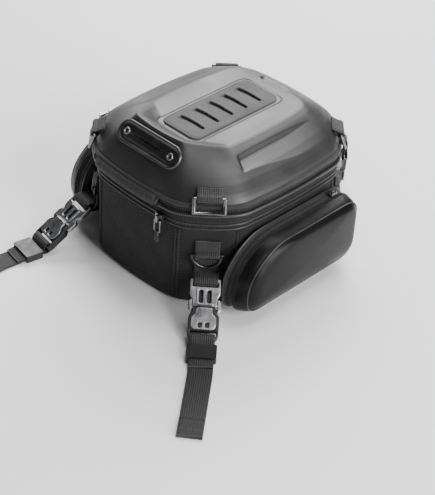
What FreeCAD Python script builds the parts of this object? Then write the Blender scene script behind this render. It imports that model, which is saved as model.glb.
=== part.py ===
import FreeCAD, Part
import math
import os

# Motorcycle tail bag: soft zipped body, moulded hinged lid, two moulded side pockets and four
# corner straps. Millimetres. +Z is up, the bag's front (hinge and badge) faces -Y, and the
# origin is the centre of the flat base, on the surface the bag stands on.

V = FreeCAD.Vector

# Driving dimensions
BODY = dict(half_x=101.0, front=-117.5, back=110.0, corner=44.0, bow=3.5)
RIM = dict(half_x=104.0, front=-121.5, back=111.0, corner=47.0, bow=4.0)
BASE_TOP = 4.0            # bottom panel thickness
TUB_TOP = 95.0            # ballistic cloth tub, up to the expansion zip
EXPANSION_TOP = 102.0     # upper edge of the expansion zip tape
BAND_TOP = 113.0          # upper cloth band
PIPING_TOP = 116.5        # piping cord under the main zip
ZIP_MIDDLE = 119.5        # the main zip's teeth line
ZIP_TOP = 122.5           # upper edge of the main zip
BINDING_TOP = 126.0       # binding around the lid's lower edge
LID_WALL = 4.0            # moulded lid thickness
WALL = 5.0                # padded cloth wall thickness
PLATEAU_Z = 157.0         # top of the lid at the grip panel
BROW_Z = 170.0            # highest edge, just above the badge
GAP = 0.4                 # clearance between separately moving pieces

HINGE = dict(x_low=-56.0, x_high=38.0)            # lid's cloth hinge along the front
PANEL = dict(half_x=26.0, front=-66.0, back=58.0, thick=1.6, z=157.3)
SLOT = dict(count=5, pitch=20.6, first=-45.0, length=33.0, width=4.5)
BADGE = dict(width=86.0, height=25.0, thick=2.4, pin_spacing=62.0)

WEB = 25.0                # webbing width
WEB_THICK = 1.8           # webbing thickness

RING = dict(inner_width=27.0, inner_height=11.0, wire=3.4)
D_RING = dict(inner_width=27.0, radius=15.0, wire=3.2)
D_ROOT_Z = 66.0           # where the body's D-ring loops end
ANCHOR_Z = 50.0           # middle of the corner straps' sewn ends

POCKET = dict(front=-98.0, back=72.0, low=9.0, high=87.0, root_x=106.2,
              back_thick=2.6, gusset=11.0, face_x=141.0, inset=13.0, wall=3.0)

BUCKLE = dict(width=31.0, male=30.0, female=34.0, thick=9.0, slope=33.0)
KEEPER = dict(width=30.0, length=20.0, thick=8.0, bar=1.5)

# The four corners: x side, y side
CORNERS = {
    "front_right": (1, -1),
    "front_left": (-1, -1),
    "back_right": (1, 1),
    "back_left": (-1, 1),
}

# The four straps: where the wall's outward direction points (degrees from +X), the x of the
# sewn end when it is on the back wall, clear distance from the wall to the buckle's line, the
# line's heading, length of the free end on the floor, and that end's turn in plan
STRAPS = {
    "front_right": dict(wall=-45.0, back_x=None, start=9.0, heading=-47.0, tail=84.0, turn=-4.0),
    "front_left": dict(wall=-135.0, back_x=None, start=13.0, heading=-100.0, tail=70.0, turn=30.0),
    "back_right": dict(wall=84.0, back_x=46.0, start=16.0, heading=130.0, tail=50.0, turn=0.0),
    "back_left": dict(wall=96.0, back_x=-46.0, start=12.0, heading=112.0, tail=50.0, turn=0.0),
}


def save(shape, node):
    """Write one node's STEP file, and stop if a solid is not valid."""
    if not shape.isValid():
        raise ValueError("invalid shape: " + node)
    shape.exportStep("parts/" + node + ".step")


def fused(shapes):
    """One clean solid from several that touch."""
    first = shapes[0]
    return first.fuse(shapes[1:]).removeSplitter() if len(shapes) > 1 else first


def box(x0, x1, y0, y1, z0, z1):
    return Part.makeBox(x1 - x0, y1 - y0, z1 - z0, V(x0, y0, z0))


def outline(half_x, front, back, corner, bow, grow=0.0, z=0.0):
    """Closed wire: an octagon whose eight sides are shallow arcs."""
    hx = half_x + grow
    yf = front - grow
    yb = back + grow
    c = corner + grow * 0.6
    points = [(hx - c, yf), (hx, yf + c), (hx, yb - c), (hx - c, yb),
              (-hx + c, yb), (-hx, yb - c), (-hx, yf + c), (-hx + c, yf)]
    edges = []
    for i, start in enumerate(points):
        end = points[(i + 1) % len(points)]
        dx = end[0] - start[0]
        dy = end[1] - start[1]
        length = math.hypot(dx, dy)
        middle = V((start[0] + end[0]) / 2 + bow * dy / length,
                   (start[1] + end[1]) / 2 - bow * dx / length, z)
        edges.append(Part.Arc(V(start[0], start[1], z), middle, V(end[0], end[1], z)).toShape())
    return Part.Wire(edges)


def prism(spec, z0, z1, grow=0.0):
    """Solid of the outline between two heights."""
    wire = outline(z=z0, grow=grow, **spec)
    return Part.Face(wire).extrude(V(0, 0, z1 - z0))


def band(spec, z0, z1, outer=0.0, inner=-WALL):
    """Ring-shaped wall that follows the outline."""
    return prism(spec, z0, z1, outer).cut(prism(spec, z0 - 1, z1 + 1, inner))


def corner_point(spec, sx, sy):
    """Middle of a corner facet, on its bowed surface."""
    edge_y = spec["front"] if sy < 0 else spec["back"]
    half = spec["corner"] / 2
    reach = spec["bow"] / math.sqrt(2)
    return V(sx * (spec["half_x"] - half + reach), edge_y - sy * half + sy * reach, 0)


def at_corner(shape, name, spec):
    """Place a shape built with its back on y = 0 and its front towards +Y on a corner facet."""
    sx, sy = CORNERS[name]
    placed = shape.copy()
    placed.rotate(V(0, 0, 0), V(0, 0, 1), math.degrees(math.atan2(sy, sx)) - 90)
    placed.translate(corner_point(spec, sx, sy))
    return placed


# ---------------------------------------------------------------- body

def base_panel():
    return prism(BODY, 0, BASE_TOP, -1.5)


def tub_wall():
    return band(BODY, BASE_TOP, TUB_TOP)


def expansion_zip():
    return band(BODY, TUB_TOP, EXPANSION_TOP, 0.6)


def upper_band():
    return band(BODY, EXPANSION_TOP, BAND_TOP, 1.0)


def hinge_cut(z0, z1):
    """Box over the stretch of the front edge that the cloth hinge takes up."""
    front = RIM["front"]
    return box(HINGE["x_low"], HINGE["x_high"], front - 15, front + 14, z0, z1)


def piping_band():
    return band(RIM, BAND_TOP, PIPING_TOP, 1.6, -WALL).cut(hinge_cut(BAND_TOP - 1, PIPING_TOP + 1))


def main_zip_lower():
    return band(RIM, PIPING_TOP, ZIP_MIDDLE, 0.0, -3.0).cut(hinge_cut(PIPING_TOP - 1, ZIP_TOP))


def hinge_band():
    """Rolled cloth band that joins the lid to the body along the front."""
    front = RIM["front"] - RIM["bow"] + 1.2
    low = BAND_TOP
    high = ZIP_TOP - GAP
    middle = (low + high) / 2
    return Part.makeCylinder((high - low) / 2, HINGE["x_high"] - HINGE["x_low"] - 2 * GAP,
                             V(HINGE["x_low"] + GAP, front + 2.2, middle), V(1, 0, 0))


# ---------------------------------------------------------------- lid

def lid_dome(shrink=0.0):
    """Moulded lid's main form, lofted from the rim up to the plateau."""
    levels = [(BINDING_TOP, 0.0), (140.0, -10.0), (150.0, -24.0), (PLATEAU_Z, -38.0)]
    wires = []
    for z, grow in levels:
        drop = shrink if z > BINDING_TOP else 0
        wires.append(outline(z=z - drop, grow=grow - shrink, **RIM))
    return Part.makeLoft(wires, True, True)


def brow_wedge():
    """Raised front edge of the lid, above the badge."""
    front = RIM["front"]
    profile = [V(0, front + 9, 143), V(0, front + 30.5, BROW_Z), V(0, front + 36, BROW_Z),
               V(0, front + 54, PLATEAU_Z + 0.1), V(0, front + 54, 145), V(0, front + 24, 143)]
    face = Part.Face(Part.makePolygon(profile + [profile[0]]))
    wedge = face.extrude(V(120, 0, 0))
    wedge.translate(V(-60, 0, 0))
    side = [V(-58, -150, 140), V(58, -150, 140), V(34, -150, BROW_Z + 1), V(-34, -150, BROW_Z + 1)]
    mask = Part.Face(Part.makePolygon(side + [side[0]])).extrude(V(0, 200, 0))
    return wedge.common(mask)


def lid_shell():
    outside = lid_dome().fuse(brow_wedge()).removeSplitter()
    return outside.cut(lid_dome(LID_WALL))


def lid_binding():
    return band(RIM, ZIP_TOP, BINDING_TOP, 1.4, -WALL)


def main_zip_upper():
    low = ZIP_MIDDLE + GAP
    return band(RIM, low, ZIP_TOP, 0.0, -3.0).cut(hinge_cut(PIPING_TOP, ZIP_TOP + 1))


def rounded_plate(width, depth, thick, radius):
    """Flat plate with rounded corners, centred on the origin in plan, underside at z = 0."""
    plate = box(-width / 2, width / 2, -depth / 2, depth / 2, 0, thick)
    uprights = [e for e in plate.Edges
                if abs(e.Vertexes[0].Z - e.Vertexes[1].Z) > thick / 2]
    return plate.makeFillet(radius, uprights)


def grip_panel():
    depth = PANEL["back"] - PANEL["front"]
    plate = rounded_plate(2 * PANEL["half_x"], depth, PANEL["thick"], 9)
    plate.translate(V(0, (PANEL["back"] + PANEL["front"]) / 2, PANEL["z"]))
    for i in range(SLOT["count"]):
        slot = rounded_plate(SLOT["length"], SLOT["width"], 4, SLOT["width"] / 2 - 0.05)
        slot.translate(V(0, SLOT["first"] + i * SLOT["pitch"], PANEL["z"] - 1))
        plate = plate.cut(slot)
    return plate


# The badge lies against the lid's sloping front
BADGE_TILT = 51.5
BADGE_CENTRE = V(0, -101.0, 158.0)


def on_badge(shape):
    placed = shape.copy()
    placed.rotate(V(0, 0, 0), V(1, 0, 0), BADGE_TILT)
    placed.translate(BADGE_CENTRE)
    return placed


def badge_plate():
    plate = rounded_plate(BADGE["width"], BADGE["height"], BADGE["thick"], BADGE["height"] / 2 - 0.1)
    for side in (-1, 1):
        hole = Part.makeCylinder(2.2, 6, V(side * BADGE["pin_spacing"] / 2, 0, -2))
        plate = plate.cut(hole)
    return on_badge(plate)


def badge_rivets():
    rivets = []
    for side in (-1, 1):
        x = side * BADGE["pin_spacing"] / 2
        shank = Part.makeCylinder(2.1, BADGE["thick"], V(x, 0, 0))
        head = Part.makeCone(4.2, 3.0, 1.2, V(x, 0, BADGE["thick"]))
        rivets.append(on_badge(shank.fuse(head).removeSplitter()))
    return Part.Compound(rivets)


# ---------------------------------------------------------------- rings on the corners

RING_BAR_Y = 0.5          # ring's upper bar, outward from the lid's rim
RING_BAR_Z = 134.5
RING_LEAN = 20.0          # the hanging ring leans out over the binding
RING_DROP = RING["inner_height"] + RING["wire"]


def lid_ring_tab():
    """Webbing from the lid's facet, turned round the ring's upper bar."""
    hole_r = RING["wire"] / 2 + GAP
    outer_r = hole_r + WEB_THICK
    loop = Part.makeCylinder(outer_r, WEB, V(-WEB / 2, RING_BAR_Y, RING_BAR_Z), V(1, 0, 0))
    side = [(-3.0, 134.5), (-9.6, 140.4), (-19.0, 147.3), (-17.8, 148.8), (-8.4, 142.0), (0.5, 138.3)]
    points = [V(-WEB / 2, y, z) for y, z in side]
    leg = Part.Face(Part.makePolygon(points + [points[0]])).extrude(V(WEB, 0, 0))
    hole = Part.makeCylinder(hole_r, WEB + 2, V(-WEB / 2 - 1, RING_BAR_Y, RING_BAR_Z), V(1, 0, 0))
    return fused([loop, leg]).cut(hole)


def lid_ring():
    """Rectangular wire ring hanging from its upper bar."""
    r = RING["wire"] / 2
    half = RING["inner_width"] / 2 + r
    parts = []
    for z in (0, -RING_DROP):
        parts.append(Part.makeCylinder(r, 2 * half, V(-half, 0, z), V(1, 0, 0)))
        parts += [Part.makeSphere(r, V(side * half, 0, z)) for side in (-1, 1)]
    for side in (-1, 1):
        parts.append(Part.makeCylinder(r, RING_DROP, V(side * half, 0, -RING_DROP), V(0, 0, 1)))
    ring = fused(parts)
    ring.rotate(V(0, 0, 0), V(1, 0, 0), RING_LEAN)
    ring.translate(V(0, RING_BAR_Y, RING_BAR_Z))
    return ring


def d_ring_tab():
    """Webbing loop sewn to the body's corner, round the D-ring's straight bar."""
    hole_r = D_RING["wire"] / 2 + GAP
    outer_r = hole_r + WEB_THICK
    loop = Part.makeCylinder(outer_r, WEB, V(-WEB / 2, outer_r + 0.1, D_ROOT_Z), V(1, 0, 0))
    leg = box(-WEB / 2, WEB / 2, 0.1, 2 * WEB_THICK, D_ROOT_Z, D_ROOT_Z + 16)
    hole = Part.makeCylinder(hole_r, WEB + 2, V(-WEB / 2 - 1, outer_r + 0.1, D_ROOT_Z), V(1, 0, 0))
    return fused([loop, leg]).cut(hole)


def d_ring_axis_y():
    return D_RING["wire"] / 2 + GAP + WEB_THICK + 0.1


def d_ring():
    """D-shaped wire ring: a straight bar and a half-round bow below it."""
    r = D_RING["wire"] / 2
    half = D_RING["inner_width"] / 2 + r
    bar = Part.makeCylinder(r, 2 * half, V(-half, 0, 0), V(1, 0, 0))
    bow_edge = Part.Arc(V(-half, 0, 0), V(0, 0, -D_RING["radius"]), V(half, 0, 0)).toShape()
    start = bow_edge.tangentAt(bow_edge.FirstParameter)
    profile = Part.Wire(Part.makeCircle(r, V(-half, 0, 0), start))
    bow = Part.Wire(bow_edge).makePipeShell([profile], True, False, 2)
    balls = [Part.makeSphere(r, V(side * half, 0, 0)) for side in (-1, 1)]
    ring = fused([bar, bow] + balls)
    ring.translate(V(0, d_ring_axis_y(), D_ROOT_Z))
    return ring


# ---------------------------------------------------------------- corner straps

MALE_TOP_Z = 38.0         # height of the buckle's upper edge, on its underside
HEAD_Z = 42.0             # height at which the strap leaves the wall
BAR = 4.5                 # width of the bars that the webbing goes round


def wall_point(name):
    """Point in plan on the wall where the strap is sewn on, and the wall's outward direction."""
    info = STRAPS[name]
    angle = math.radians(info["wall"])
    outward = V(math.cos(angle), math.sin(angle), 0)
    if info["back_x"] is None:
        return corner_point(BODY, *CORNERS[name]), outward
    half = BODY["half_x"] - BODY["corner"]
    bulge = BODY["bow"] * (1 - (info["back_x"] / half) ** 2)
    return V(info["back_x"], BODY["back"] + bulge, 0), outward


def on_floor(shape, name):
    """Place a shape built along +Y from the strap's start, lying on z = 0."""
    point, outward = wall_point(name)
    placed = shape.copy()
    placed.rotate(V(0, 0, 0), V(0, 0, 1), STRAPS[name]["heading"] - 90)
    placed.translate(point + outward * STRAPS[name]["start"])
    return placed


def on_slope(shape, name, along=0.0):
    """Place a shape built along +Y, lying on z = 0, on the buckle's sloping line."""
    placed = shape.copy()
    placed.translate(V(0, along, 0))
    placed.rotate(V(0, 0, 0), V(1, 0, 0), -BUCKLE["slope"])
    placed.translate(V(0, 0, MALE_TOP_Z))
    return on_floor(placed, name)


def web_along(points, thick):
    """Webbing whose underside follows (y, z) points."""
    under = [V(-WEB / 2, y, z) for y, z in points]
    over = [V(-WEB / 2, y, z + thick) for y, z in reversed(points)]
    face = Part.Face(Part.makePolygon(under + over + [under[0]]))
    return face.extrude(V(WEB, 0, 0))


def bar_loop(bar_start, z_low, z_high):
    """Webbing turned once round a flat bar that lies across the strap."""
    inner = (bar_start - GAP, bar_start + BAR + GAP, z_low - GAP, z_high + GAP)
    t = 1.5
    outer = box(-WEB / 2, WEB / 2, inner[0] - t, inner[1] + t, inner[2] - t, inner[3] + t)
    return outer.cut(box(-WEB, WEB, *inner))


def strap_patch(name):
    """Webbing end sewn flat to the wall."""
    point, _ = wall_point(name)
    patch = box(-WEB / 2, WEB / 2, 0.1, WEB_THICK, ANCHOR_Z - 4, ANCHOR_Z + 8)
    patch.rotate(V(0, 0, 0), V(0, 0, 1), STRAPS[name]["wall"] - 90)
    patch.translate(point)
    return patch.cut(prism(BODY, BASE_TOP, TUB_TOP, 0.05))


def strap_head(name):
    """Webbing from the sewn patch, turned round the buckle's upper bar."""
    loop = on_slope(bar_loop(0, MALE_LOW, MALE_HIGH), name)
    link = web_along([(-40, HEAD_Z), (-6.0, HEAD_Z), (4.3, MALE_TOP_Z + 7.2)], 2.0)
    head = fused([loop, on_floor(link, name)])
    return head.cut(prism(BODY, BASE_TOP, TUB_TOP, 1.2))


MALE_LOW = 1.5            # underside and top of the male half's frame
MALE_HIGH = BUCKLE["thick"] - 1.5


def buckle_male():
    """Upper half: frame with two webbing slots, a middle guide and two side prongs."""
    w = BUCKLE["width"]
    end = BUCKLE["male"]
    frame = rounded_plate(w, end, MALE_HIGH - MALE_LOW, 3)
    frame.translate(V(0, end / 2, MALE_LOW))
    for y in (BAR, BAR + 7.5):
        frame = frame.cut(box(-WEB / 2 - 0.6, WEB / 2 + 0.6, y, y + 4.4, 0, BUCKLE["thick"]))
    guide = box(-2, 2, end - 2, end + 15, 3, 6)
    prongs = [box(side * 11 - 2.2, side * 11 + 2.2, end - 2, end + 19, 2.6, 6.4) for side in (-1, 1)]
    return fused([frame, guide] + prongs)


def buckle_female():
    """Lower half: open box that takes the prongs, with side windows and a webbing bar."""
    w = BUCKLE["width"]
    t = BUCKLE["thick"]
    end = BUCKLE["female"]
    body = rounded_plate(w, end, t, 3)
    body.translate(V(0, end / 2, 0))
    body = body.cut(box(-w / 2 + 1.8, w / 2 - 1.8, -1, 21, 1.8, t - 1.8))
    body = body.cut(box(-w, w, 5, 17, 2.2, t - 2.2))
    return body.cut(box(-WEB / 2 - 0.6, WEB / 2 + 0.6, end - BAR - 4.4, end - BAR, -1, t + 1))


KEEPER_START = 62.0       # distance of the keeper from the strap's start


def keeper():
    """Moulded sliding loop that holds the doubled webbing."""
    k = KEEPER
    body = rounded_plate(k["width"], k["length"], k["thick"], 2)
    body.translate(V(0, KEEPER_START + k["length"] / 2, 0))
    return body.cut(box(-WEB / 2 - 0.5, WEB / 2 + 0.5, 0, 200, k["bar"], k["thick"] - k["bar"]))


def strap_tail(name):
    """Webbing from the female half through the keeper to the folded, sewn end."""
    info = STRAPS[name]
    start = BUCKLE["male"] + 0.3 + BUCKLE["female"] - BAR
    loop = on_slope(bar_loop(start, 0, BUCKLE["thick"]), name)
    lift = KEEPER["bar"] + GAP
    past = KEEPER_START + KEEPER["length"]
    run = past + 14
    double = web_along([(56.2, 0.6), (KEEPER_START - 2, lift), (past, lift), (past + 8, 0.1)], 2 * WEB_THICK)
    pieces = [double, box(-WEB / 2, WEB / 2, past + 7.9, run + 0.1, 0, WEB_THICK)]
    radius = 90.0
    turn = math.radians(info["turn"])
    side = 1 if turn >= 0 else -1
    centre = V(-side * radius, run, 0)
    if abs(turn) > 0.01:
        sweep = math.degrees(abs(turn))
        wide = Part.makeCylinder(radius + WEB / 2, WEB_THICK, V(0, 0, 0), V(0, 0, 1), sweep)
        arc = wide.cut(Part.makeCylinder(radius - WEB / 2, WEB_THICK, V(0, 0, 0), V(0, 0, 1)))
        if side < 0:
            arc.rotate(V(0, 0, 0), V(0, 0, 1), 180 - sweep)
        arc.translate(centre)
        pieces.append(arc)
    for y0, thick in ((run, WEB_THICK), (run + info["tail"] - 24, 2.2 * WEB_THICK)):
        piece = box(-WEB / 2, WEB / 2, y0 - 0.05, run + info["tail"], 0, thick)
        piece.rotate(centre, V(0, 0, 1), info["turn"])
        pieces.append(piece)
    return fused([loop] + [on_floor(piece, name) for piece in pieces])


# ---------------------------------------------------------------- zip sliders

def slider_body():
    """Zip slider with a bridge for its pull; built to lie on a wall facing +Y."""
    body = box(-4.5, 4.5, 0.3, 3.2, -5, 5)
    bridge = box(-1.5, 1.5, 3.0, 6.2, -4, 4)
    eye = Part.makeCylinder(1.4, 5, V(-2.5, 4.4, -1.5), V(1, 0, 0))
    return fused([body, bridge]).cut(eye)


PULL_LOOP = 14.0          # wire loop's height
PULL_GRIP = 13.0          # grip's length below the loop


def zip_pull():
    """Wire loop and its grip, hanging from the slider's bridge."""
    r = 0.9
    y = 4.4
    top = -1.5
    low = top - PULL_LOOP
    parts = [Part.makeCylinder(r, 8, V(-4, y, z), V(1, 0, 0)) for z in (top, low)]
    for side in (-1, 1):
        parts.append(Part.makeCylinder(r, PULL_LOOP, V(side * 4, y, low), V(0, 0, 1)))
        parts += [Part.makeSphere(r, V(side * 4, y, z)) for z in (top, low)]
    parts.append(Part.makeCylinder(2.6, PULL_GRIP, V(0, y, low - PULL_GRIP), V(0, 0, 1)))
    return fused(parts)


def place_plain(shape, angle, x, y, z):
    placed = shape.copy()
    placed.rotate(V(0, 0, 0), V(0, 0, 1), angle)
    placed.translate(V(x, y, z))
    return placed


EXPANSION_SLIDER = dict(angle=180.0, x=38.0, y=-122.2, z=98.5)
MAIN_SLIDERS = {
    "main_slider_front": dict(angle=90.0, x=-109.8, y=-66.0, z=119.5),
    "main_slider_back": dict(angle=90.0, x=-109.8, y=-53.0, z=119.5),
}


# ---------------------------------------------------------------- side pockets

def pocket_profile(inset, x):
    """Rounded four-cornered outline of the pocket at one distance from the body."""
    p = POCKET
    y0 = p["front"] + inset
    y1 = p["back"] - inset * 0.55
    z0 = p["low"] + inset
    z1 = p["high"] - inset * 0.35
    r = 16.0
    edges = []
    corners = [(y0, z0), (y1, z0), (y1, z1), (y0, z1)]
    starts = []
    for i, (y, z) in enumerate(corners):
        before = corners[i - 1]
        after = corners[(i + 1) % 4]
        ub = V(0, before[0] - y, before[1] - z).normalize()
        ua = V(0, after[0] - y, after[1] - z).normalize()
        corner = V(x, y, z)
        enter = corner + ub * r
        leave = corner + ua * r
        middle = corner + (ub + ua) * (r * (1 - 1 / math.sqrt(2)))
        starts.append((enter, middle, leave))
    for i, (enter, middle, leave) in enumerate(starts):
        edges.append(Part.Arc(enter, middle, leave).toShape())
        edges.append(Part.makeLine(leave, starts[(i + 1) % 4][0]))
    return Part.Wire(edges)


def pocket_slab(x0, x1, inset0, inset1):
    return Part.makeLoft([pocket_profile(inset0, x0), pocket_profile(inset1, x1)], True, True)


def mirrored(shape, side):
    return shape if side > 0 else shape.mirror(V(0, 0, 0), V(1, 0, 0))


def both_sides(shape):
    return Part.Compound([shape, mirrored(shape, -1)])


def pocket_back():
    p = POCKET
    return pocket_slab(p["root_x"], p["root_x"] + p["back_thick"], 0, 0)


def pocket_gusset():
    """Cloth and zip wall between the backing and the moulded front."""
    p = POCKET
    x0 = p["root_x"] + p["back_thick"]
    x1 = x0 + p["gusset"]
    return pocket_slab(x0, x1, 0.8, 0.8).cut(pocket_slab(x0 - 1, x1 + 1, 3.2, 3.2))


def pocket_shell():
    """Moulded front of the pocket, hollow behind."""
    p = POCKET
    x0 = p["root_x"] + p["back_thick"] + p["gusset"] + GAP
    x1 = p["face_x"] - 12
    x2 = p["face_x"]
    w = p["wall"]
    outer = pocket_slab(x0, x1, 0, p["inset"] * 0.35).fuse(pocket_slab(x1, x2, p["inset"] * 0.35, p["inset"]))
    inner = pocket_slab(x0 - 1, x1, w, p["inset"] * 0.35 + w).fuse(
        pocket_slab(x1, x2 - w, p["inset"] * 0.35 + w, p["inset"] + w))
    return outer.cut(inner).removeSplitter()


def pocket_slider(side):
    """Slider on the pocket's top edge, with a short cord loop."""
    p = POCKET
    x = p["root_x"] + p["back_thick"] + p["gusset"] - 4
    z = p["high"]
    body = box(x - 3.4, x + 3.4, 44, 53, z + 0.1, z + 3.0)
    tab = box(x - 1.2, x + 1.2, 47, 50, z + 2.8, z + 5.6)
    return mirrored(fused([body, tab]), side)


# ---------------------------------------------------------------- snap-hook straps on the lid rings

HOOKED = ("back_right",)
HOOK_TOP_Y = RING_BAR_Y + RING_DROP * math.sin(math.radians(RING_LEAN))
HOOK_TOP_Z = RING_BAR_Z - RING_DROP * math.cos(math.radians(RING_LEAN))


def hook_strap():
    """Short webbing loop that hangs from the ring's lower bar and holds the hook's bar."""
    half = 7.5
    hole_r = RING["wire"] / 2 + GAP
    outer_r = hole_r + 1.5
    loop = Part.makeCylinder(outer_r, 2 * half, V(-half, HOOK_TOP_Y, HOOK_TOP_Z), V(1, 0, 0))
    leg = box(-half, half, HOOK_TOP_Y + 0.6, HOOK_TOP_Y + outer_r, HOOK_TOP_Z - 17, HOOK_TOP_Z)
    foot = Part.makeCylinder(3.2, 2 * half, V(-half, HOOK_PIN_Y, HOOK_PIN_Z), V(1, 0, 0))
    hole = Part.makeCylinder(hole_r, 40, V(-20, HOOK_TOP_Y, HOOK_TOP_Z), V(1, 0, 0))
    eye = Part.makeCylinder(1.9, 40, V(-20, HOOK_PIN_Y, HOOK_PIN_Z), V(1, 0, 0))
    return fused([loop, leg, foot]).cut(hole).cut(eye)


HOOK_PIN_Y = HOOK_TOP_Y + RING["wire"] / 2 + GAP
HOOK_PIN_Z = HOOK_TOP_Z - 18.5


def snap_hook():
    """Cast hook: a square eye on the strap, a shank and a hook open on one side."""
    y = HOOK_PIN_Y
    z = HOOK_PIN_Z
    half = 9.6
    bar = Part.makeCylinder(1.5, 2 * half, V(-half, y, z), V(1, 0, 0))
    cheeks = [box(side * half - 1.5, side * half + 1.5, y - 1.8, y + 1.8, z - 9, z + 1.8) for side in (-1, 1)]
    lower = box(-half - 1.5, half + 1.5, y - 1.8, y + 1.8, z - 11, z - 8)
    shank = box(-2.4, 2.4, y - 1.8, y + 1.8, z - 15, z - 10)
    outer = Part.makeCylinder(9.0, 3.6, V(0, y - 1.8, z - 22), V(0, 1, 0))
    inner = Part.makeCylinder(5.8, 6, V(0, y - 3, z - 22), V(0, 1, 0))
    mouth = box(3.0, 12, y - 3, y + 3, z - 25, z - 16.4)
    claw = outer.cut(inner).cut(mouth)
    return fused([bar] + cheeks + [lower, shank, claw])


def hook_gate():
    """Sprung gate that closes the hook's mouth."""
    y = HOOK_PIN_Y
    z = HOOK_PIN_Z
    return box(5.9, 8.0, y - 1.4, y + 1.4, z - 24.6, z - 16.9)


# ---------------------------------------------------------------- small sewn pieces

def side_label():
    """Folded cloth label sewn into the seam at the front left corner."""
    label = box(20.0, 21.4, -1.0, 8.0, 49.0, 66.0)
    placed = at_corner(label, "front_left", BODY)
    return placed.cut(prism(BODY, BASE_TOP, TUB_TOP, 0.05))


def main():
    os.makedirs("parts", exist_ok=True)
    save(base_panel(), "base_panel")
    save(tub_wall(), "tub_wall")
    save(expansion_zip(), "expansion_zip")
    save(upper_band(), "upper_band")
    save(piping_band(), "piping_band")
    save(main_zip_lower(), "main_zip_lower")
    save(hinge_band(), "hinge_band")
    save(side_label(), "side_label")
    save(lid_shell(), "lid_shell")
    save(lid_binding(), "lid_binding")
    save(main_zip_upper(), "main_zip_upper")
    save(grip_panel(), "grip_panel")
    save(badge_plate(), "badge_plate")
    save(badge_rivets(), "badge_rivets")
    save(both_sides(pocket_back()), "pocket_backs")
    save(both_sides(pocket_gusset()), "pocket_gussets")
    save(pocket_shell(), "pocket_shell_right")
    save(mirrored(pocket_shell(), -1), "pocket_shell_left")
    save(pocket_slider(1), "pocket_slider_right")
    save(pocket_slider(-1), "pocket_slider_left")
    save(Part.Compound([at_corner(lid_ring_tab(), n, RIM) for n in CORNERS]), "lid_ring_tabs")
    save(Part.Compound([at_corner(d_ring_tab(), n, BODY) for n in CORNERS]), "d_ring_tabs")
    save(Part.Compound([strap_patch(n) for n in STRAPS]), "strap_patches")
    save(place_plain(slider_body(), **EXPANSION_SLIDER), "expansion_slider")
    save(place_plain(zip_pull(), **EXPANSION_SLIDER), "expansion_pull")
    for name, spec in MAIN_SLIDERS.items():
        save(place_plain(slider_body(), **spec), name)
        save(place_plain(zip_pull(), **spec), name.replace("slider", "pull"))
    for name in CORNERS:
        save(at_corner(lid_ring(), name, RIM), "lid_ring_" + name)
        save(at_corner(d_ring(), name, BODY), "d_ring_" + name)
        save(on_slope(buckle_male(), name), "buckle_male_" + name)
        save(on_slope(buckle_female(), name, BUCKLE["male"] + 0.3), "buckle_female_" + name)
        save(strap_head(name), "strap_head_" + name)
        save(on_floor(keeper(), name), "keeper_" + name)
        save(strap_tail(name), "strap_tail_" + name)
    for name in HOOKED:
        save(at_corner(hook_strap(), name, RIM), "hook_strap_" + name)
        save(at_corner(snap_hook(), name, RIM), "snap_hook_" + name)
        save(at_corner(hook_gate(), name, RIM), "hook_gate_" + name)


main()
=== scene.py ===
import math

import bmesh
import bpy
import numpy as np
from mathutils import Matrix, Vector


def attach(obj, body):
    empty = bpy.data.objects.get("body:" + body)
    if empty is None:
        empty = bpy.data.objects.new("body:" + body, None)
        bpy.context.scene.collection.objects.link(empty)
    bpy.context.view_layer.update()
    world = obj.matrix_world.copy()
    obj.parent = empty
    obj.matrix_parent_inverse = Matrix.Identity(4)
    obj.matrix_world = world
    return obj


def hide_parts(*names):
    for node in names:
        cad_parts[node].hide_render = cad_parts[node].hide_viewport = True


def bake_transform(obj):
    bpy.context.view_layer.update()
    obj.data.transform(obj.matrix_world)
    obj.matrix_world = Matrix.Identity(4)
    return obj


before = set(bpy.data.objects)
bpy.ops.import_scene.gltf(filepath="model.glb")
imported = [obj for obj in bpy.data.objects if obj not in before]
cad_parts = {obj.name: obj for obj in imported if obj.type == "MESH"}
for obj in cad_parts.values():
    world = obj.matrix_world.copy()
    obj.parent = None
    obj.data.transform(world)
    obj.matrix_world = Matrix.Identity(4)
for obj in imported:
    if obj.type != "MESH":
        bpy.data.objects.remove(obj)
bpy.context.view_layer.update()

# Tank bag looks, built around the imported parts. Shapes are worked out in millimetres and
# written to the meshes in metres. +Z is up, the bag's front faces -Y, its right side is +X.
MM = 0.001


# ---------------------------------------------------------------- material helpers

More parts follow.
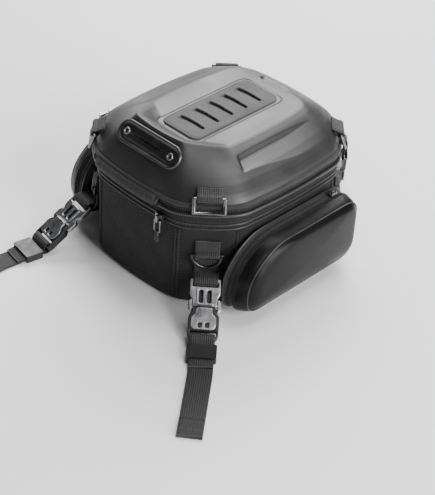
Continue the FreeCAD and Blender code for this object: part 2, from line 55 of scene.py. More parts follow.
class Surface:
    """One procedural material: a Principled shader and short calls that add detail to it."""

    def __init__(self, name, color, rough, metal=0.0, specular=0.5, sheen=0.0):
        self.mat = bpy.data.materials.new(name)
        self.mat.use_nodes = True
        self.tree = self.mat.node_tree
        self.bsdf = self.tree.nodes["Principled BSDF"]
        self.color = (*color, 1.0)
        settings = {"Base Color": self.color, "Roughness": rough, "Metallic": metal,
                    "Specular IOR Level": specular, "Sheen Weight": sheen, "Sheen Roughness": 0.4}
        for socket, value in settings.items():
            self.bsdf.inputs[socket].default_value = value

    def node(self, kind, **settings):
        made = self.tree.nodes.new(kind)
        for key, value in settings.items():
            setattr(made, key, value)
        return made

    def link(self, source, target):
        self.tree.links.new(source, target)

    def coords(self, scale, space="Object"):
        """Texture coordinates in units of one over scale metres."""
        tex = self.node("ShaderNodeTexCoord")
        mapping = self.node("ShaderNodeMapping")
        mapping.inputs["Scale"].default_value = scale if hasattr(scale, "__len__") else (scale,) * 3
        self.link(tex.outputs[space], mapping.inputs["Vector"])
        return mapping.outputs["Vector"]

    def math(self, operation, a, b=None):
        made = self.node("ShaderNodeMath", operation=operation)
        for socket, value in zip(made.inputs, (a, b)):
            if value is None:
                continue
            if isinstance(value, (int, float)):
                socket.default_value = value
            else:
                self.link(value, socket)
        return made.outputs[0]

    def cloud(self, scale, detail):
        """Soft noise with spots about one over scale metres wide."""
        made = self.node("ShaderNodeTexNoise")
        made.inputs["Scale"].default_value = 1.0
        made.inputs["Detail"].default_value = detail
        made.inputs["Roughness"].default_value = 0.6
        self.link(self.coords(scale), made.inputs["Vector"])
        return made.outputs["Fac"]

    def varied(self, cloud, low, high):
        """The noise's middle stretch, spread from low to high."""
        return self.remap(cloud, low, high, 0.3, 0.7)

    def remap(self, value, low, high, from_low=0.0, from_high=1.0):
        made = self.node("ShaderNodeMapRange")
        numbers = {"From Min": from_low, "From Max": from_high, "To Min": low, "To Max": high}
        for socket, number in numbers.items():
            made.inputs[socket].default_value = number
        self.link(value, made.inputs["Value"])
        return made.outputs["Result"]

    def shade(self, factor):
        """Multiply the base colour by a varying factor."""
        mix = self.node("ShaderNodeMix", data_type="RGBA", blend_type="MULTIPLY")
        mix.inputs["Factor"].default_value = 1.0
        mix.inputs[6].default_value = self.color
        combine = self.node("ShaderNodeCombineColor")
        for socket in combine.inputs:
            self.link(factor, socket)
        self.link(combine.outputs[0], mix.inputs[7])
        self.link(mix.outputs[2], self.bsdf.inputs["Base Color"])

    def roughness(self, value):
        self.link(value, self.bsdf.inputs["Roughness"])

    def bump(self, height, distance, strength=1.0):
        made = self.node("ShaderNodeBump")
        made.inputs["Distance"].default_value = distance
        made.inputs["Strength"].default_value = strength
        self.link(height, made.inputs["Height"])
        previous = self.bsdf.inputs["Normal"].links
        if previous:
            self.link(previous[0].from_socket, made.inputs["Normal"])
        self.link(made.outputs["Normal"], self.bsdf.inputs["Normal"])

    def ribs(self, pitch, axis):
        """Height of parallel ribs this many metres apart."""
        split = self.node("ShaderNodeSeparateXYZ")
        self.link(self.coords(1.0 / pitch, "UV"), split.inputs[0])
        return self.math("ABSOLUTE", self.math("SINE", self.math("MULTIPLY", split.outputs[axis], math.pi)))

    def weave(self, pitch):
        """Height of a plain weave with threads this many metres apart."""
        across = self.ribs(pitch, 0)
        along = self.ribs(pitch, 1)
        checker = self.node("ShaderNodeTexChecker")
        checker.inputs["Color1"].default_value = (1, 1, 1, 1)
        checker.inputs["Color2"].default_value = (0, 0, 0, 1)
        checker.inputs["Scale"].default_value = 1.0
        self.link(self.coords(1.0 / pitch, "UV"), checker.inputs["Vector"])
        side = checker.outputs["Fac"]
        first = self.math("MULTIPLY", side, across)
        second = self.math("MULTIPLY", self.math("SUBTRACT", 1.0, side), along)
        return self.math("ADD", first, second)


# ---------------------------------------------------------------- materials

def eva_film(name, color, rough, specular):
    """Moulded foam under a fine matt film: faint grain, soft sheen, slight wear."""
    s = Surface(name, color, rough, specular=specular, sheen=0.03)
    grain = s.cloud(2400.0, 3.0)
    cloud = s.cloud(26.0, 4.0)
    s.shade(s.varied(cloud, 0.82, 1.16))
    s.roughness(s.varied(cloud, rough - 0.05, rough + 0.07))
    s.bump(grain, 0.00012, 0.8)
    s.bump(cloud, 0.0012, 0.12)
    return s.mat


def cloth(name, color, pitch, depth, rough=0.72, contrast=0.55, sheen=0.06, specular=0.3):
    """Woven nylon with threads, uneven dye and a little lint."""
    s = Surface(name, color, rough, specular=specular, sheen=sheen)
    weave = s.weave(pitch)
    cloud = s.cloud(60.0, 5.0)
    lint = s.cloud(900.0, 2.0)
    tone = s.math("MULTIPLY", s.remap(weave, 1.0 - contrast, 1.0 + contrast), s.varied(cloud, 0.8, 1.2))
    s.shade(s.math("MULTIPLY", tone, s.varied(lint, 0.85, 1.15)))
    s.bump(weave, depth, 1.0)
    s.bump(cloud, 0.0015, 0.25)
    return s.mat


def webbing_cloth():
    """Heavy woven strap: ribs along it, picks across it, uneven fuzz."""
    s = Surface("webbing_cloth", (0.013, 0.013, 0.0135), 0.6, specular=0.4, sheen=0.12)
    ribs = s.ribs(0.0021, 1)
    picks = s.ribs(0.0015, 0)
    height = s.math("ADD", s.math("MULTIPLY", ribs, 0.7), s.math("MULTIPLY", picks, 0.4))
    fuzz = s.cloud(1400.0, 3.0)
    s.shade(s.math("MULTIPLY", s.remap(height, 0.55, 1.5), s.varied(fuzz, 0.75, 1.25)))
    s.bump(height, 0.0005, 1.0)
    return s.mat


def metal(name, color, rough, brushed=True, wear=0.2):
    """Brushed or polished metal with faint scratches and smudges."""
    s = Surface(name, color, rough, metal=1.0)
    scale = (300.0, 4000.0, 300.0) if brushed else (700.0, 700.0, 700.0)
    lines = s.cloud(scale, 3.0)
    smudge = s.cloud(90.0, 4.0)
    s.shade(s.varied(smudge, 1.0 - wear, 1.0 + wear * 0.4))
    s.roughness(s.varied(smudge, rough - 0.06, rough + 0.12))
    s.bump(lines, 0.00004, 0.7)
    return s.mat


def plastic(name, color, rough):
    """Moulded plastic with a fine spark-eroded grain."""
    s = Surface(name, color, rough, specular=0.5)
    speck = s.cloud(2800.0, 2.0)
    cloud = s.cloud(120.0, 3.0)
    s.shade(s.varied(cloud, 0.85, 1.15))
    s.roughness(s.varied(cloud, rough - 0.05, rough + 0.08))
    s.bump(speck, 0.00006, 0.9)
    return s.mat


def backdrop_paint():
    """Pale studio floor."""
    s = Surface("studio_floor", (0.90, 0.90, 0.905), 0.9, specular=0.1)
    s.shade(s.varied(s.cloud(5.0, 2.0), 0.99, 1.01))
    return s.mat


LID_FILM = eva_film("lid_film", (0.0165, 0.0165, 0.017), 0.42, 0.55)
# Pocket film: a near-black film whose base colour is set darker than the lid's film as painted shade for the
# dark surroundings its glossy face reflects.
POCKET_FILM_PAINTED_SHADE = eva_film("pocket_film_painted_shade", (0.0035, 0.0035, 0.0037), 0.34, 0.16)
PANEL_KNIT = cloth("panel_knit", (0.075, 0.075, 0.076), 0.0011, 0.00018, 0.6, 0.18)
# Near-black slot floors: painted shade, standing in for the shade inside the louvre openings.
SLOT_PAINTED_SHADE = plastic("slot_painted_shade", (0.006, 0.006, 0.006), 0.7)
BALLISTIC = cloth("ballistic_cloth", (0.0125, 0.0125, 0.013), 0.0013, 0.00045, 0.62, 0.6, 0.04, 0.2)
BAND_CLOTH = cloth("band_cloth", (0.021, 0.021, 0.0215), 0.0009, 0.0002, 0.62, 0.3, 0.1, 0.3)
LINING = cloth("lining_cloth", (0.045, 0.045, 0.047), 0.0008, 0.00015, 0.75, 0.25)
TAPE = cloth("zip_tape_cloth", (0.006, 0.006, 0.0062), 0.0010, 0.00025, 0.7, 0.4)
PIPING = plastic("piping_vinyl", (0.022, 0.022, 0.023), 0.34)
COIL = plastic("zip_coil", (0.016, 0.016, 0.0165), 0.36)
THREAD = plastic("sewing_thread", (0.032, 0.032, 0.033), 0.6)
WEBBING = webbing_cloth()
BLACK_PLASTIC = plastic("black_plastic", (0.006, 0.006, 0.0065), 0.45)
BADGE_METAL = metal("badge_metal", (0.085, 0.085, 0.088), 0.40, wear=0.3)
STEEL = metal("ring_steel", (0.20, 0.20, 0.205), 0.28, brushed=False)
GUNMETAL = metal("ring_gunmetal", (0.07, 0.07, 0.073), 0.30, brushed=False)
ALLOY = metal("buckle_alloy", (0.46, 0.46, 0.47), 0.30)
LABEL = cloth("label_cloth", (0.20, 0.115, 0.045), 0.0008, 0.0002, 0.8, 0.35)


# ---------------------------------------------------------------- mesh helpers

def add_piece(name, mesh, material, body, replaces=()):
    """Link a finished mesh, give it its materials and let it ride on its body."""
    obj = bpy.data.objects.new(name, mesh)
    bpy.context.scene.collection.objects.link(obj)
    for entry in (material if isinstance(material, (list, tuple)) else [material]):
        mesh.materials.append(entry)
    if replaces:
        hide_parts(*replaces)
    if body:
        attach(obj, body)
    return obj


def merged(mesh, distance):
    """Joins points that lie together."""
    bm = bmesh.new()
    bm.from_mesh(mesh)
    bmesh.ops.remove_doubles(bm, verts=bm.verts, dist=distance)
    bm.to_mesh(mesh)
    bm.free()


def moved(mesh, place):
    """Moves a mesh's points, given to place() in millimetres."""
    points = np.array([v.co for v in mesh.vertices]) / MM
    mesh.vertices.foreach_set("co", (place(points) * MM).ravel())
    mesh.update()
    return mesh


def mesh_from(name, points, faces, corner_uv=None):
    """Mesh in metres from millimetre points."""
    mesh = bpy.data.meshes.new(name)
    mesh.from_pydata((np.asarray(points, float) * MM).tolist(), [], faces)
    if corner_uv is not None:
        layer = mesh.uv_layers.new(name="metres")
        layer.data.foreach_set("uv", (np.asarray(corner_uv, float) * MM).ravel())
    mesh.validate()
    mesh.polygons.foreach_set("use_smooth", [True] * len(mesh.polygons))
    mesh.update()
    return mesh


def grid_mesh(name, grid, closed_u=False, closed_v=False, cap_u=False, weld=False):
    """Quad mesh over a grid of points, its running lengths as UV; weld joins rings shrunk to a point."""
    grid = np.asarray(grid, float)
    rows, cols = grid.shape[:2]
    full = np.concatenate([grid, grid[:1]], 0) if closed_u else grid
    full = np.concatenate([full, full[:, :1]], 1) if closed_v else full
    u = np.concatenate([[0.0], np.cumsum(np.linalg.norm(np.diff(full, axis=0), axis=2).mean(1))])
    v = np.concatenate([[0.0], np.cumsum(np.linalg.norm(np.diff(full, axis=1), axis=2).mean(0))])
    faces = []
    uv = []
    for i in range(len(full) - 1):
        for j in range(full.shape[1] - 1):
            quad = ((i, j), (i + 1, j), (i + 1, j + 1), (i, j + 1))
            faces.append([(a % rows) * cols + b % cols for a, b in quad])
            uv += [(u[a], v[b]) for a, b in quad]
    if cap_u:
        for ring in (range(cols - 1, -1, -1), range((rows - 1) * cols, rows * cols)):
            faces.append(list(ring))
            uv += [(0.0, 0.0)] * cols
    mesh = mesh_from(name, grid.reshape(-1, 3), faces, uv)
    if weld:
        merged(mesh, 1e-7)
    return mesh


def smoothed(values, sigma, closed=True):
    """Gaussian blur along the first axis."""
    reach = int(math.ceil(sigma * 3))
    kernel = np.exp(-0.5 * (np.arange(-reach, reach + 1) / sigma) ** 2)
    kernel /= kernel.sum()
    mode = "wrap" if closed else "edge"
    pad = [(reach, reach)] + [(0, 0)] * (values.ndim - 1)
    wide = np.pad(values, pad, mode=mode)
    return sum(k * wide[i:i + len(values)] for i, k in enumerate(kernel))


def unit(rows):
    """Each row made one unit long."""
    return rows / np.linalg.norm(rows, axis=1)[:, None]


def run_lengths(points):
    """Distance walked along a polyline at each of its points."""
    return np.concatenate([[0.0], np.cumsum(np.linalg.norm(np.diff(points, axis=0), axis=1))])


def sampled(table, at, where):
    """Rows of a table between its own rows, which stand at the places in at."""
    return np.stack([np.interp(where, at, table[:, k]) for k in range(table.shape[1])], 1)


def arc(cx, cy, radius, start, stop, steps):
    """Points on a circle between two angles in degrees."""
    turns = [math.radians(start + (stop - start) * i / steps) for i in range(steps + 1)]
    return [(cx + radius * math.cos(a), cy + radius * math.sin(a)) for a in turns]


SIDE_SAMPLES = (60, 32, 84, 32, 60, 32, 84, 32)     # points along front, corner, right side, ...


def octagon(front, side_front, side_back, back, bow):
    """Points and a 'frontness' weight round an eight-sided outline given by its right-hand corners."""
    f, s, b, k = (np.array(p, float) for p in (front, side_front, side_back, back))
    flip = np.array([-1.0, 1.0])
    corners = [f * flip, f, s, b, k, k * flip, b * flip, s * flip]
    points = []
    weight = []
    for i, count in enumerate(SIDE_SAMPLES):
        start = corners[i]
        end = corners[(i + 1) % 8]
        run = end - start
        out = np.array([run[1], -run[0]]) / np.linalg.norm(run)
        share = np.arange(count) / count
        swell = bow * (1 - (2 * share - 1) ** 2)
        points.append(start + share[:, None] * run + swell[:, None] * out)
        weight.append({0: np.ones(count), 1: 1 - share, 7: share}.get(i, np.zeros(count)))
    return np.concatenate(points), np.concatenate(weight)


def outline(spec, blur=3.0):
    """Rounded outline of the body or the rim, and its outward directions."""
    hx, front, back, cut = (spec[key] for key in ("half_x", "front", "back", "corner"))
    points, _ = octagon((hx - cut, front), (hx, front + cut), (hx, back - cut), (hx - cut, back), spec["bow"])
    points = smoothed(points, blur)
    run = np.roll(points, -1, 0) - np.roll(points, 1, 0)
    return points, unit(np.stack([run[:, 1], -run[:, 0]], 1))


def band(points, normals, profile):
    """Grid that carries a closed (outward, height) profile along an outline."""
    profile = np.asarray(profile, float)
    flat = points[:, None, :] + normals[:, None, :] * profile[None, :, :1]
    height = np.broadcast_to(profile[None, :, 1:], flat.shape[:2] + (1,))
    return np.concatenate([flat, height], 2)


def rounded_box_profile(out0, out1, z0, z1, radius):
    """Closed rectangular profile with rounded corners, as (outward, height)."""
    corners = [(out1 - radius, z0 + radius, -90), (out1 - radius, z1 - radius, 0),
               (out0 + radius, z1 - radius, 90), (out0 + radius, z0 + radius, 180)]
    return [p for cx, cz, start in corners for p in arc(cx, cz, radius, start, start + 90.0, 4)]


def round_profile(out, z, radius, steps=12):
    """Closed round profile, as (outward, height)."""
    turn = 2 * math.pi / steps
    return [(out + radius * math.cos(i * turn), z + radius * math.sin(i * turn)) for i in range(steps)]


def copies(name, shape, faces, places):
    """One mesh of many small copies; each place is (centre, axis a, axis b, axis c)."""
    shape = np.asarray(shape, float)
    points = []
    all_faces = []
    for number, (centre, a, b, c) in enumerate(places):
        axes = np.stack([a, b, c])
        points.append(np.asarray(centre) + shape @ axes)
        start = number * len(shape)
        all_faces += [[start + k for k in face] for face in faces]
    return mesh_from(name, np.concatenate(points), all_faces)


def pill(length, width, height, rings=5, sides=6):
    """Rounded bead stretched along its first axis: a stitch or a zip tooth."""
    points = [(-length / 2, 0, 0)]
    for i in range(1, rings):
        a = math.pi * i / rings
        for j in range(sides):
            t = 2 * math.pi * j / sides
            r = math.sin(a) ** 0.6
            points.append((-math.cos(a) * length / 2, r * width / 2 * math.cos(t),
                           r * height / 2 * math.sin(t)))
    points.append((length / 2, 0, 0))
    faces = [[0, 1 + (j + 1) % sides, 1 + j] for j in range(sides)]
    for i in range(rings - 2):
        for j in range(sides):
            a = 1 + i * sides + j
            b = 1 + i * sides + (j + 1) % sides
            faces.append([a, b, b + sides, a + sides])
    last = len(points) - 1
    base = last - sides
    faces += [[last, base + j, base + (j + 1) % sides] for j in range(sides)]
    return points, faces


def walk(points, pitch, closed):
    """Evenly spaced positions and directions along a polyline of 3-D points."""
    points = np.asarray(points, float)
    full = np.concatenate([points, points[:1]]) if closed else points
    lengths = run_lengths(full)
    count = int(lengths[-1] / pitch)
    where = (np.arange(count) + 0.5) * lengths[-1] / max(count, 1)
    run = sampled(full, lengths, where + 0.5) - sampled(full, lengths, where - 0.5)
    return sampled(full, lengths, where), unit(run)


UP = np.array([0.0, 0.0, 1.0])
X_AXIS = np.array([1.0, 0.0, 0.0])


def along_outline(points, normals, out, z):
    """3-D line at one height beside an outline."""
    flat = points + normals * out
    return np.concatenate([flat, np.full((len(flat), 1), z)], 1)


def row_of(name, line, shape, pitch, material, body, closed=True, sink=UP):
    """Copies of a small shape along a line: its first axis runs along the line."""
    spots, run = walk(line, pitch, closed)
    places = []
    for spot, a in zip(spots, run):
        b = np.cross(sink, a)
        b /= np.linalg.norm(b)
        places.append((spot, a, b, np.cross(a, b)))
    return add_piece(name, copies(name, *shape, places), material, body)


# ---------------------------------------------------------------- driving sizes, as in the part

BODY = dict(half_x=101.0, front=-117.5, back=110.0, corner=44.0, bow=3.5)
RIM = dict(half_x=104.0, front=-121.5, back=111.0, corner=47.0, bow=4.0)
TUB_TOP = 95.0
EXPANSION_TOP = 102.0
BAND_TOP = 113.0
PIPING_TOP = 116.5
ZIP_MIDDLE = 119.5
ZIP_TOP = 122.5
BINDING_TOP = 126.0
HINGE = (-56.0, 38.0)
WEB = 25.0
WEB_THICK = 1.8
CORNERS = {"front_right": (1, -1), "front_left": (-1, -1), "back_right": (1, 1), "back_left": (-1, 1)}


def corner_point(spec, sx, sy):
    """Middle of a corner facet, on its bowed surface."""
    edge = spec["front"] if sy < 0 else spec["back"]
    half = spec["corner"] / 2
    reach = spec["bow"] / math.sqrt(2)
    return np.array([sx * (spec["half_x"] - half + reach), edge - sy * half + sy * reach, 0.0])


def level(angle):
    """Level direction at an angle from +X, in radians."""
    return np.array([math.cos(angle), math.sin(angle), 0.0])


def turned(points, degrees, origin):
    """Points turned about +Z and moved to a place."""
    a = math.radians(degrees)
    turn = np.array([[math.cos(a), math.sin(a), 0], [-math.sin(a), math.cos(a), 0], [0, 0, 1]])
    return np.asarray(points, float) @ turn + np.asarray(origin, float)


def at_corner(points, name, spec):
    """Points built with their back on y = 0, facing +Y, placed on a corner facet."""
    sx, sy = CORNERS[name]
    return turned(points, math.degrees(math.atan2(sy, sx)) - 90, corner_point(spec, sx, sy))


def corner_across(name):
    """Level direction along a corner facet."""
    sx, sy = CORNERS[name]
    return level(math.atan2(sy, sx) - math.pi / 2)


# ---------------------------------------------------------------- lid

# Right side corner points of the lid's outline: at the rim, the upper ridge, the panel and the centre
RIM_CORNERS = ((57.0, -121.5), (104.0, -74.5), (104.0, 64.0), (57.0, 111.0))
RIDGE_CORNERS = ((34.0, -91.0), (53.0, -49.0), (51.0, 60.0), (36.0, 72.0))
PANEL_CORNERS = ((19.0, -69.0), (29.0, -58.0), (29.0, 52.0), (21.0, 62.0))
CENTRE_CORNERS = ((1.0, -20.0), (2.0, -19.0), (2.0, 19.0), (1.0, 20.0))

# Share of the way from rim to ridge (1) to panel (2) to centre (3), height at the sides, at the front
LID_PROFILE = (
    (0.00, 126.0, 126.0), (0.05, 130.8, 129.0), (0.13, 135.8, 133.4), (0.26, 141.0, 139.6),
    (0.42, 145.8, 146.8), (0.62, 150.8, 155.4), (0.82, 155.4, 164.0), (0.94, 157.6, 168.9),
    (1.00, 158.2, 170.8), (1.06, 158.3, 171.2), (1.25, 157.8, 169.4), (1.50, 157.3, 165.0),
    (1.75, 157.0, 160.6), (1.92, 156.8, 157.8), (2.05, 156.8, 156.9), (3.00, 156.8, 156.8),
)
LID_WALL = 4.0


def lid_stage(share):
    """The lid's outline and frontness at one share of the way from the rim to the centre."""
    stages = (RIM_CORNERS, RIDGE_CORNERS, PANEL_CORNERS, CENTRE_CORNERS)
    bows = (4.0, 3.2, 0.6, 0.0)
    i = min(int(share), 2)
    part = share - i
    pairs = [tuple(a + (b - a) * part for a, b in zip(p, q)) for p, q in zip(stages[i], stages[i + 1])]
    return octagon(*pairs, bows[i] + (bows[i + 1] - bows[i]) * part)


def ramp(value, low, high):
    """Smooth step from 0 at low to 1 at high."""
    t = np.clip((value - low) / (high - low), 0, 1)
    return t * t * (3 - 2 * t)


def recess_depth(x, y):
    """How far the scooped recess on each side of the lid is pressed in."""
    across = np.abs(x)
    top = 68.0
    bottom = 84.5 + 9.5 * ramp(y, -56, 22)
    share = np.clip((across - top) / (bottom - top), 0, 1)
    wall = ramp(across, top - 1.4, top + 1.4)
    end = -46.0 - 8.0 * share
    front = ramp(y, end - 2.6, end)
    fade = 1 - ramp(y, 12, 60)
    return 4.6 * wall * front * fade * (1 - share) ** 0.9


def scoop_depth(x, y):
    """The small pressed slot near the back of the lid's top."""
    along = ramp(x, -19, -15) * (1 - ramp(x, 18, 23))
    wall = ramp(y, 71.5, 73.4)
    fade = 1 - ramp(y, 73.6, 82)
    return 3.0 * along * wall * fade


def outside_box(x, y, half_x, half_y, radius):
    """Distance of points outside a rounded rectangle about 0, 0."""
    px = np.abs(x) - (half_x - radius)
    py = np.abs(y) - (half_y - radius)
    return np.hypot(np.maximum(px, 0), np.maximum(py, 0)) + np.minimum(np.maximum(px, py), 0) - radius


def groove_depth(x, y):
    """Shallow moulded groove round the grip panel."""
    return 0.7 * np.exp(-(outside_box(x, y + 4.0, 29.6, 65.4, 9.5) / 0.6) ** 2)


def lid_surface(inset=0.0):
    """Grid of rings from the rim to the centre of the lid's outside, or of its lining."""
    shares = np.concatenate([np.linspace(0, 1.15, 110), np.linspace(1.16, 2.1, 48), np.linspace(2.2, 3, 12)])
    table = np.array(LID_PROFILE)
    heights = sampled(table[:, 1:], table[:, 0], shares)
    side = smoothed(heights[:, 0], 1.3, closed=False)
    front = smoothed(heights[:, 1], 1.5, closed=False)
    rings = []
    for share, z_side, z_front in zip(shares, side, front):
        flat, weight = lid_stage(share)
        z = z_side + (z_front - z_side) * weight ** 0.85
        ring = np.concatenate([flat, z[:, None]], 1)
        rings.append(smoothed(ring, 3.6 - 1.2 * min(share, 1.0)))
    grid = np.array(rings)
    if inset:
        centre = np.array([0.0, -4.0])
        reach = np.linalg.norm(grid[:, :, :2] - centre, axis=2, keepdims=True)
        grid[:, :, :2] -= (grid[:, :, :2] - centre) / np.maximum(reach, 1) * inset * np.clip(reach / 60, 0, 1)
        grid[1:, :, 2] -= inset * np.clip(shares[1:, None] * 6, 0, 1)
        return grid
    x, y = grid[:, :, 0], grid[:, :, 1]
    grid[:, :, 2] -= recess_depth(x, y) + scoop_depth(x, y) + groove_depth(x, y)
    return grid


def lid():
    """Moulded lid shell, outside and inside."""
    outside = lid_surface()
    inside = lid_surface(LID_WALL)
    shell = np.concatenate([inside[::-1], outside])
    mesh = grid_mesh("lid_shell_moulded", shell, closed_v=True, cap_u=True)
    return add_piece("lid_shell_moulded", mesh, LID_FILM, "lid", ["lid_shell"])


# ---------------------------------------------------------------- grip panel

PANEL = dict(half_x=26.0, front=-66.0, back=58.0, z=157.0, thick=1.9, radius=9.5)
SLOT_FIRST = -45.0
SLOT_PITCH = 20.6
SLOT_HALF = 16.5


def slot_shape(x, y):
    """Depth and hood height of the louvre slots."""
    depth = np.zeros_like(x)
    hood = np.zeros_like(x)
    for i in range(5):
        middle = SLOT_FIRST + SLOT_PITCH * i
        bend = 2.4 * np.clip(-x / SLOT_HALF, 0, 1) ** 2
        dy = y - (middle - bend)
        share = (x + SLOT_HALF) / (2 * SLOT_HALF)
        half = 2.9 - 1.3 * np.clip(share, 0, 1)
        ends = ramp(x, -SLOT_HALF - 0.8, -SLOT_HALF + 1.0) * (1 - ramp(x, SLOT_HALF - 1.5, SLOT_HALF + 0.5))
        depth = np.maximum(depth, ends * (1 - ramp(np.abs(dy), half - 0.7, half)))
        lip = np.exp(-((dy - half - 0.9) / 1.6) ** 2)
        hood = np.maximum(hood, lip * ends)
    return depth, hood


def grip_panel():
    """Fine-knit pad with a rolled edge and five louvre slots whose floors are coloured near-black as painted
    shade.
    """
    half_x = PANEL["half_x"]
    middle = (PANEL["front"] + PANEL["back"]) / 2
    half_y = PANEL["back"] - middle
    r = PANEL["radius"]
    x, y = np.meshgrid(np.linspace(-half_x, half_x, 105), np.linspace(PANEL["front"], PANEL["back"], 249),
                       indexing="ij")
    px = np.abs(x) - (half_x - r)
    py = np.abs(y - middle) - (half_y - r)
    corner = (px > 0) & (py > 0)
    reach = np.hypot(px, py)
    pull = np.where(corner & (reach > r), r / np.maximum(reach, 1e-6), 1.0)
    x = np.where(corner, np.sign(x) * (half_x - r + px * pull), x)
    y = np.where(corner, middle + np.sign(y - middle) * (half_y - r + py * pull), y)
    away = outside_box(x, y - middle, half_x, half_y, r)
    edge = np.clip(-away / 1.6, 0, 1)
    crown = np.sqrt(1 - (1 - edge) ** 2)
    seam = 0.5 * np.exp(-((away + 2.6) / 0.55) ** 2)
    depth, hood = slot_shape(x, y)
    z = PANEL["z"] + PANEL["thick"] * crown - seam - 2.6 * depth + 0.8 * hood
    grid = np.stack([x, y, z], 2)
    mesh = grid_mesh("grip_panel_pad", grid)
    # Faces deep in the slots take the near-black material as painted shade.
    slot_shade_faces = (depth[:-1, :-1] > 0.55).ravel()
    mesh.polygons.foreach_set("material_index", slot_shade_faces.astype(int))
    obj = add_piece("grip_panel_pad", mesh, [PANEL_KNIT, SLOT_PAINTED_SHADE], "lid", ["grip_panel"])
    return obj


# ---------------------------------------------------------------- badge

BADGE = dict(width=86.0, height=25.0, tilt=51.5, centre=(0.0, -102.2, 156.5), pins=31.0, lift=2.4)


def on_badge(points):
    """Points built flat about 0, 0, leant back onto the lid's front."""
    a = math.radians(BADGE["tilt"])
    turn = np.array([[1, 0, 0], [0, math.cos(a), math.sin(a)], [0, -math.sin(a), math.cos(a)]])
    return points @ turn + np.array(BADGE["centre"])


def badge():
    """Blank stadium plate: raised rim, sunk field with a fine frame line."""
    half_w = BADGE["width"] / 2
    half_h = BADGE["height"] / 2
    straight = half_w - half_h
    rings = ((0.0, 0.0), (0.0, 1.6), (0.7, 2.5), (1.7, 2.6), (2.6, 2.2), (3.1, 1.5), (4.4, 1.45),
             (4.8, 1.15), (5.2, 1.15), (5.6, 1.45), (9.0, 1.5), (half_h - 0.3, 1.5))
    grid = []
    for inset, z in rings:
        r = half_h - inset
        line = arc(straight, 0.0, r, -90, 90, 32) + arc(-straight, 0.0, r, 90, 270, 32)
        grid.append([(x, y, z) for x, y in line])
    points = np.array(grid)
    bow = 1.0 - (points[:, :, 0] / half_w) ** 2
    points[:, :, 2] += 1.1 * (bow - 1.0) + BADGE["lift"]
    mesh = grid_mesh("badge_blank_plate", on_badge(points), closed_v=True, cap_u=True)
    return add_piece("badge_blank_plate", mesh, BADGE_METAL, "lid", ["badge_plate"])


# ---------------------------------------------------------------- rim: binding, zip, piping, hinge

RIM_LINE = outline(RIM)
BODY_LINE = outline(BODY)


def front_gap(points, normals, low, high):
    """The outline as an open line that leaves out a stretch of the front edge."""
    inside = (points[:, 1] < RIM["front"] + 8) & (points[:, 0] > low) & (points[:, 0] < high)
    last = np.nonzero(inside)[0].max()
    order = (np.arange(len(points)) + last + 1) % len(points)
    kept = order[~inside[order]]
    return points[kept], normals[kept]


def swept(name, line, profile, material, body, replaces=(), closed=True):
    """A profile carried along an outline, as a piece."""
    points, normals = line
    mesh = grid_mesh(name, band(points, normals, profile), closed_u=closed, closed_v=True, cap_u=not closed)
    return add_piece(name, mesh, material, body, replaces)


STITCH = pill(2.5, 0.75, 0.6, rings=4, sides=5)


def rim_parts():
    """Binding, main zip with its teeth, and the piping under it."""
    open_line = front_gap(*RIM_LINE, *HINGE)
    swept("lid_binding_roll", RIM_LINE, rounded_box_profile(-4, 2.2, ZIP_TOP - 0.2, BINDING_TOP + 1.2, 1.7),
          BAND_CLOTH, "lid", ["lid_binding"])
    row_of("lid_binding_stitches", along_outline(*RIM_LINE, 2.25, 124.4), STITCH, 3.6, THREAD, "lid")
    swept("main_zip_tape_upper", open_line, rounded_box_profile(-3.0, 0.0, ZIP_MIDDLE + 0.7, ZIP_TOP, 0.35),
          TAPE, "lid", ["main_zip_upper"], closed=False)
    swept("main_zip_tape_lower", open_line,
          rounded_box_profile(-3.0, 0.0, PIPING_TOP, ZIP_MIDDLE - 0.5, 0.35), TAPE,
          "bag_body", ["main_zip_lower"], closed=False)
    for side, body, z in (("upper", "lid", ZIP_MIDDLE + 0.75), ("lower", "bag_body", ZIP_MIDDLE - 0.55)):
        line = along_outline(*open_line, -0.1, z)
        row_of("main_zip_teeth_" + side, line, pill(1.5, 1.5, 2.3), 2.3, COIL, body, closed=False)
    swept("piping_roll", open_line, round_profile(1.5, 114.9, 1.9), PIPING, "bag_body",
          ["piping_band"], closed=False)
    swept("piping_flange", open_line, rounded_box_profile(-4.5, 0.6, 113.0, 116.6, 0.8), BAND_CLOTH,
          "bag_body", closed=False)


def hinge_roll():
    """Wide rolled cloth band along the front."""
    low, high = HINGE
    profile = np.array([(-3.5, 113.2), (2.2, 112.4), (5.2, 113.4), (6.8, 116.0), (7.0, 119.2), (6.0, 122.4),
                        (3.9, 124.6), (1.4, 124.9), (-3.5, 122.4)])
    halfway = (profile + np.roll(profile, -1, 0)) / 2
    dense = smoothed(np.stack([profile, halfway], 1).reshape(-1, 2), 0.7)
    points, normals = RIM_LINE
    inside = (points[:, 1] < RIM["front"] + 8) & (points[:, 0] > low + 0.5) & (points[:, 0] < high - 0.5)
    chosen = np.nonzero(inside)[0]
    grid = band(points[chosen], normals[chosen], dense)
    middle = np.array([-1.0, 118.0])
    for i in range(len(grid)):
        end = min(i, len(grid) - 1 - i)
        taper = (0.72, 0.88, 0.96)[end] if end < 3 else 1.0 + 0.02 * math.sin(i * 1.7)
        centre = points[chosen[i]] + normals[chosen[i]] * middle[0]
        grid[i, :, :2] = centre + (grid[i, :, :2] - centre) * taper
        grid[i, :, 2] = middle[1] + (grid[i, :, 2] - middle[1]) * taper
    mesh = grid_mesh("hinge_cloth_roll", grid, closed_v=True, cap_u=True)
    obj = add_piece("hinge_cloth_roll", mesh, BAND_CLOTH, None, ["hinge_band"])
    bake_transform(obj)
    return obj


def apply_modifiers(obj):
    """Bakes an object's modifiers into its mesh."""
    graph = bpy.context.evaluated_depsgraph_get()
    graph.update()
    final = bpy.data.meshes.new_from_object(obj.evaluated_get(graph))
    old = obj.data
    obj.modifiers.clear()
    obj.data = final
    name = old.name
    bpy.data.meshes.remove(old)
    final.name = name


# ---------------------------------------------------------------- body

